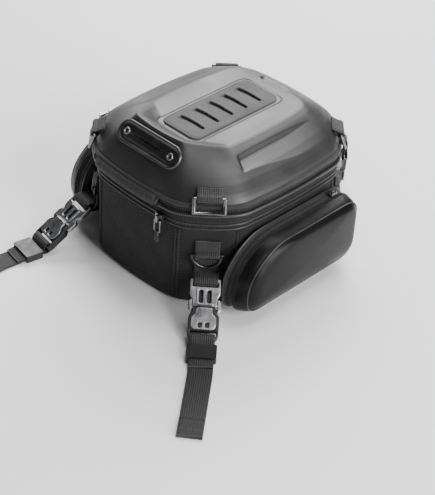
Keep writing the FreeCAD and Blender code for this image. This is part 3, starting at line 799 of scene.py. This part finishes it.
def wall_bulge(points, z):
    """Stuffed cloth between the seams: fullest at mid height on the front and back."""
    height = np.clip(z / TUB_TOP, 0, 1)
    swell = math.sin(math.pi * height) ** 0.8
    across = np.clip(1 - (points[:, 0] / 62.0) ** 2, 0, 1)
    ends = np.where(np.abs(points[:, 1]) > 95, across ** 0.5, 0.0)
    return 2.6 * swell * ends


WALL_LINE = outline(BODY, blur=3.4)


def tub():
    """Padded cloth wall with its lining inside."""
    points, normals = WALL_LINE
    rows = []
    outer = [(-7.0, 0.3), (-3.2, 0.9), (-1.1, 3.0), (-0.2, 6.5), (0.0, 11.0)]
    outer += [(0.0, z) for z in np.linspace(16, 90, 26)] + [(0.2, TUB_TOP - 1.6), (0.0, TUB_TOP)]
    inner = [(-4.6, TUB_TOP), (-4.8, TUB_TOP - 3)] + [(-5.0, z) for z in (80, 60, 40, 20, 8, 4.2)]
    for out, z in outer:
        swell = wall_bulge(points, z)
        ripple = 0.35 * np.sin(points[:, 0] / 9.0 + z / 17.0) * np.sin(z / 11.0 + points[:, 1] / 21.0)
        rows.append((out + swell + ripple * math.sin(math.pi * min(z / TUB_TOP, 1)), z))
    for out, z in inner:
        rows.append((np.full(len(points), out), z))
    grid = np.stack([np.concatenate([points + normals * np.asarray(out)[:, None],
                                     np.full((len(points), 1), z)], 1) for out, z in rows], 1)
    mesh = grid_mesh("tub_ballistic_wall", grid, closed_u=True)
    lined = np.arange(len(rows) - 1) >= len(outer) - 1
    mesh.polygons.foreach_set("material_index", np.tile(lined.astype(int), len(points)))
    return add_piece("tub_ballistic_wall", mesh, [BALLISTIC, LINING], "bag_body", ["tub_wall"])


def base_pan():
    """Bottom panel: a flat slab with a rounded edge."""
    rings = [(-60.0, 0.0), (-7.5, 0.0), (-6.0, 0.3), (-5.2, 1.2), (-5.1, 3.8), (-6.0, 4.3), (-60.0, 4.4)]
    points, normals = WALL_LINE
    grid = np.stack([along_outline(points, normals, out, z) for out, z in rings], 1)
    for column in (0, -1):
        grid[:, column, :2] = points * 0.02
    mesh = grid_mesh("base_pan_panel", grid, closed_u=True)
    return add_piece("base_pan_panel", mesh, BLACK_PLASTIC, "bag_body", ["base_panel"])


def seams():
    """Upright stitched seams beside the corner facets."""
    points, normals = WALL_LINE
    section = ((-3.2, -0.4), (-3.0, 0.7), (-0.4, 0.95), (0.0, 0.3), (0.4, 0.95), (3.0, 0.7), (3.2, -0.4))
    for number, (x, y) in enumerate(((57, -118), (-57, -118), (101, -74), (-101, -74),
                                     (57, 110), (-57, 110), (101, 66), (-101, 66))):
        near = np.argmin(np.hypot(points[:, 0] - x, points[:, 1] - y))
        place, out = points[near], normals[near]
        side = np.array([-out[1], out[0]])
        heights = [(z, wall_bulge(points[near:near + 1], z)[0]) for z in np.linspace(9, 92, 24)]
        tape = [[(*(place + side * du + out * (dn + swell)), z) for du, dn in section]
                for z, swell in heights]
        mesh = grid_mesh("seam_tape_%d" % number, np.array(tape))
        add_piece("seam_tape_%d" % number, mesh, BALLISTIC, "bag_body")
        for edge in (-2.0, 2.0):
            line = [(*(place + side * edge + out * (0.95 + swell)), z) for z, swell in heights]
            name = "seam_stitches_%d_%s" % (number, "a" if edge < 0 else "b")
            row_of(name, line, STITCH, 3.8, THREAD, "bag_body", closed=False,
                   sink=np.array([out[0], out[1], 0.0]))


def expansion_and_band():
    """Expansion zip with its lips and teeth, and the cloth band above it."""
    swept("expansion_tape", BODY_LINE, rounded_box_profile(-4.5, 0.3, TUB_TOP, EXPANSION_TOP, 0.4), TAPE,
          "bag_body", ["expansion_zip"])
    for label, z in (("lower", TUB_TOP + 0.9), ("upper", EXPANSION_TOP - 0.9)):
        swept("expansion_lip_" + label, BODY_LINE, round_profile(0.7, z, 1.15, 10), PIPING, "bag_body")
    for label, z in (("lower", 97.9), ("upper", 99.3)):
        line = along_outline(*BODY_LINE, 0.5, z)
        row_of("expansion_teeth_" + label, line, pill(1.3, 1.2, 2.0), 2.1, COIL, "bag_body")
    profile = rounded_box_profile(-4.0, 0.9, EXPANSION_TOP, BAND_TOP, 0.9)
    swept("upper_cloth_band", BODY_LINE, profile, BALLISTIC, "bag_body", ["upper_band"])
    for z in (104.0, 111.0):
        row_of("upper_band_stitches_%d" % z, along_outline(*BODY_LINE, 0.95, z), STITCH, 3.6, THREAD,
               "bag_body")


# ---------------------------------------------------------------- side pockets

POCKET = dict(front=-98.0, back=72.0, low=9.0, high=87.0)
INSET_LIMIT = 18.0


def corner_cut(before, here, after, radius):
    """Where a corner's rounding starts and ends, on the way from before to after."""
    back, on = before - here, after - here
    back_length, on_length = np.linalg.norm(back), np.linalg.norm(on)
    r = min(radius, 0.48 * back_length, 0.48 * on_length)
    return here + back / back_length * r, here + on / on_length * r


def pocket_outline(inset):
    """(y, z) outline of the pocket, with its front upper corner cut away."""
    y0 = POCKET["front"] + inset
    y1 = POCKET["back"] - inset * 0.6
    z0 = POCKET["low"] + inset * 0.85
    z1 = POCKET["high"] - inset * 0.45
    corners = [(y0, z0, 26), (y1, z0, 24), (y1, z1, 22), (y0 + 34, z1, 30), (y0, z1 - 30, 26)]
    spots = [np.array((y, z)) for y, z, _ in corners]
    cuts = [corner_cut(spots[i - 1], spots[i], spots[(i + 1) % 5], max(corners[i][2] - inset * 0.45, 7))
            for i in range(5)]
    points = []
    for i, (enter, leave) in enumerate(cuts):
        for t in np.linspace(0, 1, 22, endpoint=False):
            points.append((1 - t) ** 2 * enter + 2 * t * (1 - t) * spots[i] + t * t * leave)
        stop = cuts[(i + 1) % 5][0]
        points += [leave + (stop - leave) * t for t in np.linspace(0, 1, 26, endpoint=False)]
    return np.array(points)


def pocket_ring(x, inset, side):
    """One closed ring of the pocket; past the last true inset the outline shrinks to its centre."""
    flat = pocket_outline(min(inset, INSET_LIMIT))
    if inset > INSET_LIMIT:
        centre = np.array([-8.0, 49.0])
        flat = centre + (flat - centre) * max(1 - (inset - INSET_LIMIT) / 30.0, 0.0)
    ring = np.stack([np.full(len(flat), x * side), flat[:, 0], flat[:, 1]], 1)
    return ring if side > 0 else ring[::-1]


def rounded_steps(steps):
    """More steps on a smooth line near the given (outward, inset) ones."""
    steps = np.asarray(steps, float)
    dense = sampled(steps, np.arange(len(steps)), np.linspace(0, len(steps) - 1, 3 * len(steps) - 2))
    return [tuple(p) for p in smoothed(dense, 0.8, closed=False)]


def pocket(side, label):
    """Moulded pocket front with its crease, and the teeth of its zip."""
    body = "pocket_front_" + label
    steps = [(120.3, 2.6), (120.3, 0.6), (121.2, -0.2), (122.8, 0.1), (125.5, 1.0), (128.6, 2.3),
             (131.2, 3.9), (132.9, 5.3), (133.7, 5.6), (134.2, 6.4), (134.1, 7.3), (135.6, 8.8),
             (137.3, 11.5), (138.7, 15.0), (139.9, 19.5), (140.7, 24.5), (141.3, 30.0), (141.8, 36.0),
             (142.1, 42.0), (142.2, 48.0)]
    inner = [(138.9, 48.0), (138.6, 36.0), (137.5, 24.0), (134.5, 14.0), (128.0, 7.0), (121.0, 4.0)]
    grid = np.array([pocket_ring(x, inset, side) for x, inset in inner + rounded_steps(steps)])
    mesh = grid_mesh("pocket_moulding_" + label, grid, closed_v=True, weld=True)
    # The moulding's film carries painted shade in its darkened base colour.
    add_piece("pocket_moulding_" + label, mesh, POCKET_FILM_PAINTED_SHADE, body, ["pocket_shell_" + label])
    tube = tube_mesh("pocket_crease_" + label, pocket_ring(134.0, 6.0, side), 0.6)
    add_piece("pocket_crease_" + label, tube, PIPING, body)
    for word, x, rides_on in (("fixed", 119.0, "bag_body"), ("moving", 121.1, body)):
        row_of("pocket_teeth_%s_%s" % (word, label), pocket_ring(x, -0.1, side), pill(1.3, 1.2, 2.0),
               2.3, COIL,
               rides_on, sink=X_AXIS)


def pocket_roots():
    """Backing, piping and folded gusset of both pockets."""
    names = {1: ["pocket_backs", "pocket_gussets"], -1: []}
    steps = [(104.0, 4.0), (104.6, 0.5), (106.0, -1.2), (107.6, -1.6), (109.0, -0.9), (109.6, 0.9),
             (110.4, 2.0), (111.6, 1.4), (113.2, 0.6), (114.8, 0.9), (115.8, 1.9), (116.8, 1.5),
             (118.0, 0.6), (119.6, 0.5), (119.7, 2.8), (112.0, 4.6), (106.4, 5.0), (105.8, 30.0)]
    for side, label in ((1, "right"), (-1, "left")):
        grid = np.array([pocket_ring(x, inset, side) for x, inset in rounded_steps(steps)])
        mesh = grid_mesh("pocket_gusset_folds_" + label, grid, closed_v=True, cap_u=True)
        add_piece("pocket_gusset_folds_" + label, mesh, BAND_CLOTH, "bag_body", names[side])
        cord = tube_mesh("pocket_piping_" + label, pocket_ring(107.2, -1.9, side), 1.1)
        add_piece("pocket_piping_" + label, cord, PIPING, "bag_body")


def tube_mesh(name, line, radius):
    """Round closed tube along a ring of points."""
    line = np.asarray(line, float)
    run = unit(np.roll(line, -1, 0) - np.roll(line, 1, 0))
    a = unit(np.cross(run, UP if abs(run[:, 2]).max() < 0.95 else X_AXIS))
    b = np.cross(run, a)
    turn = np.arange(10) * 2 * math.pi / 10
    spokes = np.cos(turn)[None, :, None] * a[:, None] + np.sin(turn)[None, :, None] * b[:, None]
    return grid_mesh(name, line[:, None] + radius * spokes, closed_u=True, closed_v=True)


# ---------------------------------------------------------------- webbing

def rounded_section(width, thick):
    """Closed (across, up) section of webbing, resting on up = 0."""
    r = thick / 2
    section = []
    for side, start in ((1, -90), (-1, 90)):
        section += arc(side * (width / 2 - r), r, r, start, start + 180, 4)
        x, z = section[-1]
        section += [(x - x * 2 * t, z) for t in (0.2, 0.4, 0.6, 0.8)]
    return section


def smooth_path(points, spacing):
    """Points evenly along a rounded version of a given route."""
    points = np.asarray(points, float)
    lengths = run_lengths(points)
    count = max(int(lengths[-1] / spacing), 8)
    even = sampled(points, lengths, np.linspace(0, lengths[-1], count))
    soft = smoothed(even, 1.3, closed=False)
    soft[0], soft[-1] = even[0], even[-1]
    return soft


def ribbon_mesh(name, path, across, width=WEB, thick=WEB_THICK):
    """Webbing along a path; across is its width direction, one vector or one per point."""
    across = unit(np.broadcast_to(np.asarray(across, float), path.shape))
    up = unit(np.cross(unit(np.gradient(path, axis=0)), across))
    section = np.array(rounded_section(width, thick))
    section[:, 1] -= thick / 2
    grid = path[:, None] + section[None, :, :1] * across[:, None] + section[None, :, 1:] * up[:, None]
    return grid_mesh(name, grid, closed_v=True, cap_u=True)


def bend(y, z, radius, start, stop, count=9):
    """Points of a route that goes round a bar."""
    return [(0.0, *p) for p in arc(y, z, radius, start, stop, count - 1)]


STRAPS = {
    "front_right": dict(wall=-45.0, back_x=None, start=9.0, heading=-47.0, tail=84.0, turn=-4.0),
    "front_left": dict(wall=-135.0, back_x=None, start=13.0, heading=-100.0, tail=70.0, turn=30.0),
    "back_right": dict(wall=84.0, back_x=46.0, start=16.0, heading=130.0, tail=50.0, turn=0.0),
    "back_left": dict(wall=96.0, back_x=-46.0, start=12.0, heading=112.0, tail=50.0, turn=0.0),
}
SLOPE = math.radians(33.0)
BUCKLE_TOP = 38.0
FEMALE_START = 30.3
FEMALE_LENGTH = 34.0
BAR = 4.5
KEEPER_START = 62.0
KEEPER_END = 82.0
TURN_RADIUS = 90.0


def wall_place(name):
    """Where a strap is sewn on, and the wall's outward direction there."""
    info = STRAPS[name]
    outward = level(math.radians(info["wall"]))
    if info["back_x"] is None:
        return corner_point(BODY, *CORNERS[name]), outward
    half = BODY["half_x"] - BODY["corner"]
    swell = BODY["bow"] * (1 - (info["back_x"] / half) ** 2)
    return np.array([info["back_x"], BODY["back"] + swell, 0.0]), outward


def on_floor(points, name):
    """Points built along +Y from the strap's start, placed on the floor."""
    place, outward = wall_place(name)
    return turned(points, STRAPS[name]["heading"] - 90, place + outward * STRAPS[name]["start"])


def on_slope(points):
    """Points built flat along +Y, laid on the buckle's sloping underside."""
    points = np.asarray(points, float)
    y = points[:, 1] * math.cos(SLOPE) + points[:, 2] * math.sin(SLOPE)
    z = BUCKLE_TOP - points[:, 1] * math.sin(SLOPE) + points[:, 2] * math.cos(SLOPE)
    return np.stack([points[:, 0], y, z], 1)


def slope(s, h):
    """A place along (s) and above (h) the sloping underside, as (0, y, z)."""
    return tuple(on_slope([(0.0, s, h)])[0])


def strap_direction(name):
    """The strap's width direction once it is placed."""
    return level(math.radians(STRAPS[name]["heading"] - 90))


def strap_head(name):
    """Webbing out from the wall, round the buckle's upper bar and back."""
    start = -STRAPS[name]["start"]
    route = [(0, start + 2.0, 43.4), (0, start + 5.0, 43.2), (0, -7.0, 43.6), (0, -3.0, 44.6)]
    route += [slope(-0.6, 9.2), slope(5.0, 9.2), slope(6.0, 8.0), slope(6.0, 1.0), slope(5.0, -0.2)]
    route += [slope(-0.8, -0.2), slope(-2.2, 1.2), (0, -4.5, 40.6), (0, -9.0, 41.0)]
    route += [(0, min(start + 6.0, -9.5), 41.2), (0, start + 2.0, 41.3)]
    path = smooth_path(route, 1.2)
    mesh = ribbon_mesh("strap_loop_" + name, on_floor(path, name), strap_direction(name), thick=1.5)
    add_piece("strap_loop_" + name, mesh, WEBBING, "strap_" + name, ["strap_head_" + name])


def strap_tail(name):
    """Webbing from the keeper up round the buckle's lower bar and back to its free end."""
    info = STRAPS[name]
    route = [(0, KEEPER_END + 9, 2.9), (0, KEEPER_END + 3, 4.2), (0, KEEPER_END, 4.6), (0, KEEPER_START, 4.6)]
    bar = FEMALE_START + FEMALE_LENGTH - BAR
    route += [slope(bar + 4.8, 9.0), slope(bar + 3.6, 10.2), slope(bar - 0.4, 10.2), slope(bar - 1.6, 8.8)]
    route += [slope(bar - 1.6, 0.6), slope(bar - 0.4, -1.0), slope(bar + 4.4, -0.9), (0, 57.5, 1.6)]
    route += [(0, KEEPER_START - 1, 2.5), (0, KEEPER_END, 2.5)]
    route += [(0, KEEPER_END + 6, 1.3), (0, KEEPER_END + 14, 0.9)]
    straight = smooth_path(route, 1.2)
    run = KEEPER_END + 14
    turn = math.radians(info["turn"])
    side = 1 if turn >= 0 else -1
    centre = np.array([-side * TURN_RADIUS, run, 0.0])
    curve = []
    for a in np.linspace(0, abs(turn), max(int(abs(info["turn"]) / 2), 2))[1:]:
        curve.append(centre + np.array([side * TURN_RADIUS * math.cos(a), TURN_RADIUS * math.sin(a), 0.9]))
    heading = level(turn + math.pi / 2)
    aside = level(turn)
    last = curve[-1]
    end = [last + heading * d for d in np.linspace(0, info["tail"], 42)[1:]]
    path = np.concatenate([straight, np.array(curve), np.array(end)])
    wave = 0.25 * np.sin(np.arange(len(path)) * 0.23) * ramp(path[:, 1], run, run + 20)
    path[:, 2] = path[:, 2] + np.maximum(wave, 0)
    step = np.gradient(path, axis=0)
    plan = np.stack([step[:, 1], -step[:, 0], np.zeros(len(path))], 1)
    plan[:len(straight)] = X_AXIS
    across = turned(plan, info["heading"] - 90, (0, 0, 0))
    mesh = ribbon_mesh("strap_web_" + name, on_floor(path, name), across)
    add_piece("strap_web_" + name, mesh, WEBBING, "strap_" + name, ["strap_tail_" + name])
    hem = np.linspace(info["tail"] - 23, info["tail"], 16)
    fold = np.array([last + heading * d + UP * 1.7 for d in hem])
    fold_across = turned(np.tile(aside, (len(fold), 1)), info["heading"] - 90, (0, 0, 0))
    mesh = ribbon_mesh("strap_fold_" + name, on_floor(fold, name), fold_across, thick=1.7)
    add_piece("strap_fold_" + name, mesh, WEBBING, "strap_" + name)
    for number, d in enumerate((4.0, 9.0, 18.0)):
        spot = last + heading * (info["tail"] - d) + UP * 2.55
        line = on_floor(np.array([spot + aside * t for t in np.linspace(-10.5, 10.5, 12)]), name)
        row_of("strap_bartack_%d_%s" % (number, name), line, STITCH, 2.7, THREAD, "strap_" + name,
               closed=False)


def strap_patches():
    """Webbing ends sewn flat to the wall with a box of stitches."""
    heights = np.linspace(40.5, 59, 16)
    outs = np.interp(heights, [40.5, 43, 46, 59], [4.2, 3.6, 1.6, 1.3])
    for number, name in enumerate(STRAPS):
        place, outward = wall_place(name)
        side = np.array([-outward[1], outward[0], 0.0])
        path = np.array([place + outward * out + UP * z for out, z in zip(outs, heights)])
        mesh = ribbon_mesh("strap_patch_" + name, path, side)
        add_piece("strap_patch_" + name, mesh, WEBBING, "bag_body",
                  [] if number else ["strap_patches"])
        corners = [(-10, 47.5), (10, 47.5), (10, 57), (-10, 57), (-10, 47.5), (10, 57), (10, 47.5), (-10, 57)]
        line = np.array([place + outward * 2.3 + side * x + UP * z for x, z in corners])
        row_of("strap_patch_stitches_" + name, line, STITCH, 3.0, THREAD, "bag_body", closed=False,
               sink=outward)


def ring_tabs():
    """Webbing loops that hold the rings on the lid's and the body's corners."""
    for number, (name, (sx, sy)) in enumerate(CORNERS.items()):
        across = corner_across(name)
        route = [(0, -9.5, 141.4), (0, -7.6, 140.9), (0, -4.5, 139.4)]
        route += bend(0.5, 134.5, 3.2, 118, -150) + [(0, -3.6, 134.6), (0, -7.5, 138.0)]
        path = smooth_path(route, 1.0)
        mesh = ribbon_mesh("lid_ring_loop_" + name, at_corner(path, name, RIM), across, thick=1.7)
        add_piece("lid_ring_loop_" + name, mesh, WEBBING, "lid",
                  [] if number else ["lid_ring_tabs"])
        line = at_corner([(t, -7.4, 142.0) for t in np.linspace(-10, 10, 10)], name, RIM)
        row_of("lid_ring_tack_" + name, line, STITCH, 2.7, THREAD, "lid", closed=False)
        route = [(0, 1.2, 82.0), (0, 1.3, 76.0), (0, 1.9, 70.6)]
        route += bend(3.9, 66.0, 3.0, 112, -140) + [(0, 1.0, 66.0), (0, 0.9, 71.0)]
        path = smooth_path(route, 1.0)
        mesh = ribbon_mesh("d_ring_loop_" + name, at_corner(path, name, BODY), across, thick=1.7)
        add_piece("d_ring_loop_" + name, mesh, WEBBING, "bag_body",
                  [] if number else ["d_ring_tabs"])
        for z in (74.5, 79.5):
            line = at_corner([(t, 2.25, z) for t in np.linspace(-10, 10, 10)], name, BODY)
            row_of("d_ring_tack_%d_%s" % (z, name), line, STITCH, 2.7, THREAD, "bag_body",
                   closed=False, sink=np.array([sx, sy, 0.0]) / math.sqrt(2))


HOOK_TOP = (5.43, 120.97)
HOOK_PIN = (7.53, 102.47)


def hook_strap():
    """Narrow webbing loop from the back right lid ring to the snap hook."""
    name = "back_right"
    route = bend(*HOOK_TOP, 3.0, 200, 0, 12) + [(0, 8.9, 112.0)] + bend(*HOOK_PIN, 2.5, 10, -180, 10)
    route += [(0, 6.4, 108.0), (0, 6.6, 114.0)]
    path = smooth_path(route, 0.9)
    mesh = ribbon_mesh("hook_webbing_" + name, at_corner(path, name, RIM), corner_across(name),
                       width=15.0, thick=1.4)
    add_piece("hook_webbing_" + name, mesh, WEBBING, "hook_strap_body", ["hook_strap_" + name])


# ---------------------------------------------------------------- small hardware

def zip_puller(label, body, node, angle, place):
    """Wire loop and a ribbed grip, hanging from a slider."""
    y, top, low = 4.4, -1.5, -15.5
    corners = ((2.2, low + 1.8, -90), (2.2, top - 1.8, 0), (-2.2, top - 1.8, 90), (-2.2, low + 1.8, 180))
    loop = [(x, y, z) for cx, cz, start in corners for x, z in arc(cx, cz, 1.8, start, start + 90, 6)]
    wire = tube_mesh("pull_wire_" + label, turned(loop, angle, place), 0.85)
    add_piece("pull_wire_" + label, wire, STEEL, body, [node])
    profile = [(0.0, low + 1.5), (1.3, low + 1.3), (1.6, low - 0.4), (1.5, low - 2.4), (2.3, low - 3.0)]
    for i in range(5):
        z = low - 3.6 - i * 1.35
        profile += [(2.55, z), (2.1, z - 0.5), (2.1, z - 0.8)]
    profile += [(2.6, low - 10.4), (2.5, low - 12.0), (1.6, low - 12.8), (0.0, low - 13.0)]
    grip = lathe("pull_grip_" + label, profile, 16)
    moved(grip, lambda points: turned(points + np.array([0, y, 0]), angle, place))
    add_piece("pull_grip_" + label, grip, BLACK_PLASTIC, body)


def lathe(name, profile, steps):
    """Turned form about +Z from (radius, height) points."""
    turn = np.arange(steps) * 2 * math.pi / steps
    grid = [[(r * math.cos(t), r * math.sin(t), z) for t in turn] for r, z in profile]
    return grid_mesh(name, np.array(grid)[::-1], closed_v=True)


def badge_rivets():
    """Hollow-headed rivets in the ends of the badge."""
    profile = [(0.05, 0.5), (1.7, 0.5), (2.0, 0.7), (2.2, 1.9), (2.7, 2.4), (3.4, 2.2), (4.0, 1.5),
               (4.2, 0.2)]
    for side, label in ((1, "right"), (-1, "left")):
        spot = np.array([side * BADGE["pins"], 0, 1.5 + BADGE["lift"] - 0.6])
        mesh = lathe("badge_rivet_" + label, profile, 28)
        moved(mesh, lambda points, spot=spot: on_badge(points + spot))
        add_piece("badge_rivet_" + label, mesh, STEEL, "lid", ["badge_rivets"] if side > 0 else ())


def plate(name, outer, holes, low, high, bevel, place, material, body, replaces=()):
    """Flat plate with rounded edges and holes: (x, along) outlines, then moved by place()."""
    data = bpy.data.curves.new(name + "_outline", "CURVE")
    data.dimensions = "2D"
    data.fill_mode = "BOTH"
    data.extrude = (high - low) / 2 * MM - bevel * MM
    data.bevel_depth = bevel * MM
    data.bevel_resolution = 2
    data.offset = -bevel * MM
    for line in [outer] + holes:
        spline = data.splines.new("POLY")
        spline.points.add(len(line) - 1)
        spline.points.foreach_set("co", [c for x, y in line for c in (x * MM, y * MM, 0.0, 1.0)])
        spline.use_cyclic_u = True
    curve = bpy.data.objects.new(name + "_outline", data)
    mesh = bpy.data.meshes.new_from_object(curve)
    bpy.data.objects.remove(curve)
    bpy.data.curves.remove(data)
    moved(mesh, lambda points: place(points + np.array([0, 0, (low + high) / 2])))
    merged(mesh, 1e-6)
    mesh.name = name
    mesh.materials.clear()
    return add_piece(name, mesh, material, body, replaces)


def rounded(corners, radius, steps=5):
    """Closed outline with every corner rounded."""
    corners = [np.array(c, float) for c in corners]
    points = []
    for i, here in enumerate(corners):
        before = corners[i - 1] - here
        after = corners[(i + 1) % len(corners)] - here
        r = min(radius, 0.45 * np.linalg.norm(before), 0.45 * np.linalg.norm(after))
        enter = here + before / np.linalg.norm(before) * r
        leave = here + after / np.linalg.norm(after) * r
        for t in np.linspace(0, 1, steps + 1):
            points.append(tuple((1 - t) ** 2 * enter + 2 * t * (1 - t) * here + t * t * leave))
    return points


def mirror_outline(right_side):
    """Closed outline from the corners of its right half, listed from front to back."""
    return right_side + [(-x, y) for x, y in reversed(right_side)]


def rectangle(x0, x1, y0, y1, radius):
    """Closed rectangle with rounded corners."""
    return rounded([(x0, y0), (x1, y0), (x1, y1), (x0, y1)], radius)


def buckles():
    """Side-release buckles: alloy upper half with slots and prong ends, black lower half, alloy cover."""
    male = rounded(mirror_outline([(15.5, 0.2), (15.5, 16.0), (12.6, 20.5), (12.6, 29.8)]), 2.4)
    holes = [rectangle(-12.9, 12.9, 4.6, 8.8, 0.8), rectangle(-6.6, -1.7, 12.0, 26.5, 1.6),
             rectangle(1.7, 6.6, 12.0, 26.5, 1.6)]
    bridge_holes = [rectangle(-6.2, -2.1, 12.6, 26.0, 1.4), rectangle(2.1, 6.2, 12.6, 26.0, 1.4)]
    female = [(12.2, 30.4), (12.6, 36.0), (15.5, 39.5), (15.5, 60.0), (13.0, 64.3)]
    female = rounded(mirror_outline(female), 2.6)
    cover = rounded(mirror_outline([(8.2, 31.2), (8.6, 37.5), (12.6, 41.5), (12.6, 50.5), (9.5, 54.2)]), 2.2)
    cover_holes = [rectangle(-5.6, -1.5, 47.0, 52.0, 1.0), rectangle(1.5, 5.6, 47.0, 52.0, 1.0)]
    for name in STRAPS:
        body = "strap_" + name

        def place(points, name=name):
            return on_floor(on_slope(points), name)

        plate("buckle_upper_" + name, male, holes, 1.5, 7.5, 0.9, place, ALLOY, body,
              ["buckle_male_" + name])
        plate("buckle_upper_bridge_" + name, rectangle(-9.0, 9.0, 10.2, 28.6, 2.2), bridge_holes,
              6.8, 9.0, 0.8,
              place, ALLOY, body)
        plate("buckle_upper_core_" + name, rectangle(-11, 11, 11.0, 29.0, 1.5), [], 2.4, 5.2, 0.4, place,
              BLACK_PLASTIC, body)
        for side, label in ((1, "r"), (-1, "l")):
            oval = [(side * 12.4, 20.5), (side * 16.6, 23.5), (side * 16.9, 33.5), (side * 12.4, 36.5)]
            oval = rounded(oval, 3.4, 8)
            plate("buckle_prong_%s_%s" % (label, name), oval if side > 0 else oval[::-1], [], 2.2, 7.2, 1.2,
                  place, ALLOY, body)
        plate("buckle_lower_" + name, female, [rectangle(-12.9, 12.9, 55.4, 59.8, 0.8)], 0.2, 8.8, 1.4, place,
              BLACK_PLASTIC, body, ["buckle_female_" + name])
        plate("buckle_cover_" + name, cover, cover_holes, 8.4, 10.2, 0.7, place, ALLOY, body)


def side_label():
    """Folded woven label in the front left seam."""
    rows = []
    for t in np.linspace(0, 1, 18):
        a = math.pi * t
        y = 7.4 * math.sin(a) ** 0.8
        x = 20.7 - 0.6 * math.cos(a)
        rows.append([(x, y - 0.6, z) for z in np.linspace(49, 66, 14)])
    grid = np.array(rows)
    placed = at_corner(grid.reshape(-1, 3), "front_left", BODY).reshape(grid.shape)
    mesh = grid_mesh("side_label_fold", placed)
    obj = add_piece("side_label_fold", mesh, LABEL, "bag_body", ["side_label"])
    mod = obj.modifiers.new("thickness", "SOLIDIFY")
    mod.thickness = 0.0005
    apply_modifiers(obj)


NODE_FINISH = (
    ("lid_ring_front", STEEL), ("lid_ring_back", STEEL), ("d_ring_front", GUNMETAL),
    ("d_ring_back", GUNMETAL), ("keeper", BLACK_PLASTIC), ("snap_hook", STEEL),
    ("hook_gate", STEEL), ("expansion_slider", STEEL), ("main_slider", STEEL),
    ("pocket_slider", STEEL),
)


def finish_nodes():
    """Material for the CAD parts that stay in view, with softened edges on the keepers and sliders."""
    for name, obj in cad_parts.items():
        for start, material in NODE_FINISH:
            if name.startswith(start):
                obj.data.materials.clear()
                obj.data.materials.append(material)
                weld = obj.modifiers.new("weld", "WELD")
                weld.merge_threshold = 0.00002
                if "keeper" in name or "slider" in name:
                    bevel = obj.modifiers.new("edges", "BEVEL")
                    bevel.width = 0.0006
                    bevel.segments = 3
                    bevel.limit_method = "ANGLE"
                    bevel.angle_limit = math.radians(50)


# ---------------------------------------------------------------- stage, lights, camera

def area_light(name, place, aim, size, watts):
    """Rectangular softbox turned towards a point."""
    light = bpy.data.lights.new(name, "AREA")
    light.shape = "RECTANGLE"
    light.size, light.size_y = size
    light.energy = watts
    obj = bpy.data.objects.new(name, light)
    obj.location = place
    obj.rotation_euler = (Vector(aim) - Vector(place)).to_track_quat("-Z", "Y").to_euler()
    bpy.context.scene.collection.objects.link(obj)


def stage():
    """Floor, faint surrounding light and four softboxes."""
    bpy.ops.mesh.primitive_grid_add(x_subdivisions=4, y_subdivisions=4, size=9.0, location=(0, 0, -0.0004))
    floor = bpy.context.object
    floor.name = "studio_floor"
    floor.data.materials.append(backdrop_paint())
    world = bpy.data.worlds.new("studio")
    bpy.context.scene.world = world
    world.use_nodes = True
    background = world.node_tree.nodes["Background"]
    background.inputs["Color"].default_value = (0.95, 0.97, 1.0, 1.0)
    background.inputs["Strength"].default_value = 0.09
    area_light("back_softbox", (-1.25, 1.35, 1.5), (0.0, 0.0, 0.1), (1.7, 1.1), 92)
    area_light("right_softbox", (2.0, -0.25, 1.5), (0.05, 0.0, 0.1), (0.8, 0.8), 40)
    area_light("side_softbox", (1.9, 0.25, 0.55), (0.05, 0.0, 0.08), (0.9, 0.6), 34)
    area_light("top_softbox", (0.2, 0.6, 2.4), (0.0, 0.0, 0.1), (1.4, 1.2), 44)


def camera():
    """Camera at the photographed angle: azimuth, elevation and a slight roll."""
    azimuth, elevation, roll = (math.radians(a) for a in (42.966, 37.275, 3.512))
    distance = 1.6
    aim = Vector((0.0224, -0.0203, 0.0))
    back = Vector((math.sin(azimuth) * math.cos(elevation), -math.cos(azimuth) * math.cos(elevation),
                   math.sin(elevation)))
    right = Vector((math.cos(azimuth), math.sin(azimuth), 0.0))
    up = back.cross(right)
    r = right * math.cos(roll) + up * math.sin(roll)
    u = up * math.cos(roll) - right * math.sin(roll)
    data = bpy.data.cameras.new("camera")
    data.lens = 108.22
    data.sensor_width = 36.0
    obj = bpy.data.objects.new("camera", data)
    place = aim + back * distance
    rows = [(r[k], u[k], back[k], place[k]) for k in range(3)] + [(0, 0, 0, 1)]
    obj.matrix_world = Matrix(rows)
    bpy.context.scene.collection.objects.link(obj)
    bpy.context.scene.camera = obj


def build():
    """Everything in the picture, in order."""
    for step in (camera, stage, lid, grip_panel, badge, badge_rivets, rim_parts, hinge_roll, tub, base_pan,
                 seams, expansion_and_band, pocket_roots):
        step()
    for side, label in ((1, "right"), (-1, "left")):
        pocket(side, label)
    for name in STRAPS:
        strap_head(name)
        strap_tail(name)
    for step in (strap_patches, ring_tabs, hook_strap):
        step()
    zip_puller("expansion", "expansion_zip_pull", "expansion_pull", 180.0, (38.0, -122.2, 98.5))
    zip_puller("main_front", "main_zip_pull_front", "main_pull_front", 90.0, (-109.8, -66.0, 119.5))
    zip_puller("main_back", "main_zip_pull_back", "main_pull_back", 90.0, (-109.8, -53.0, 119.5))
    for step in (buckles, side_label, finish_nodes):
        step()


build()
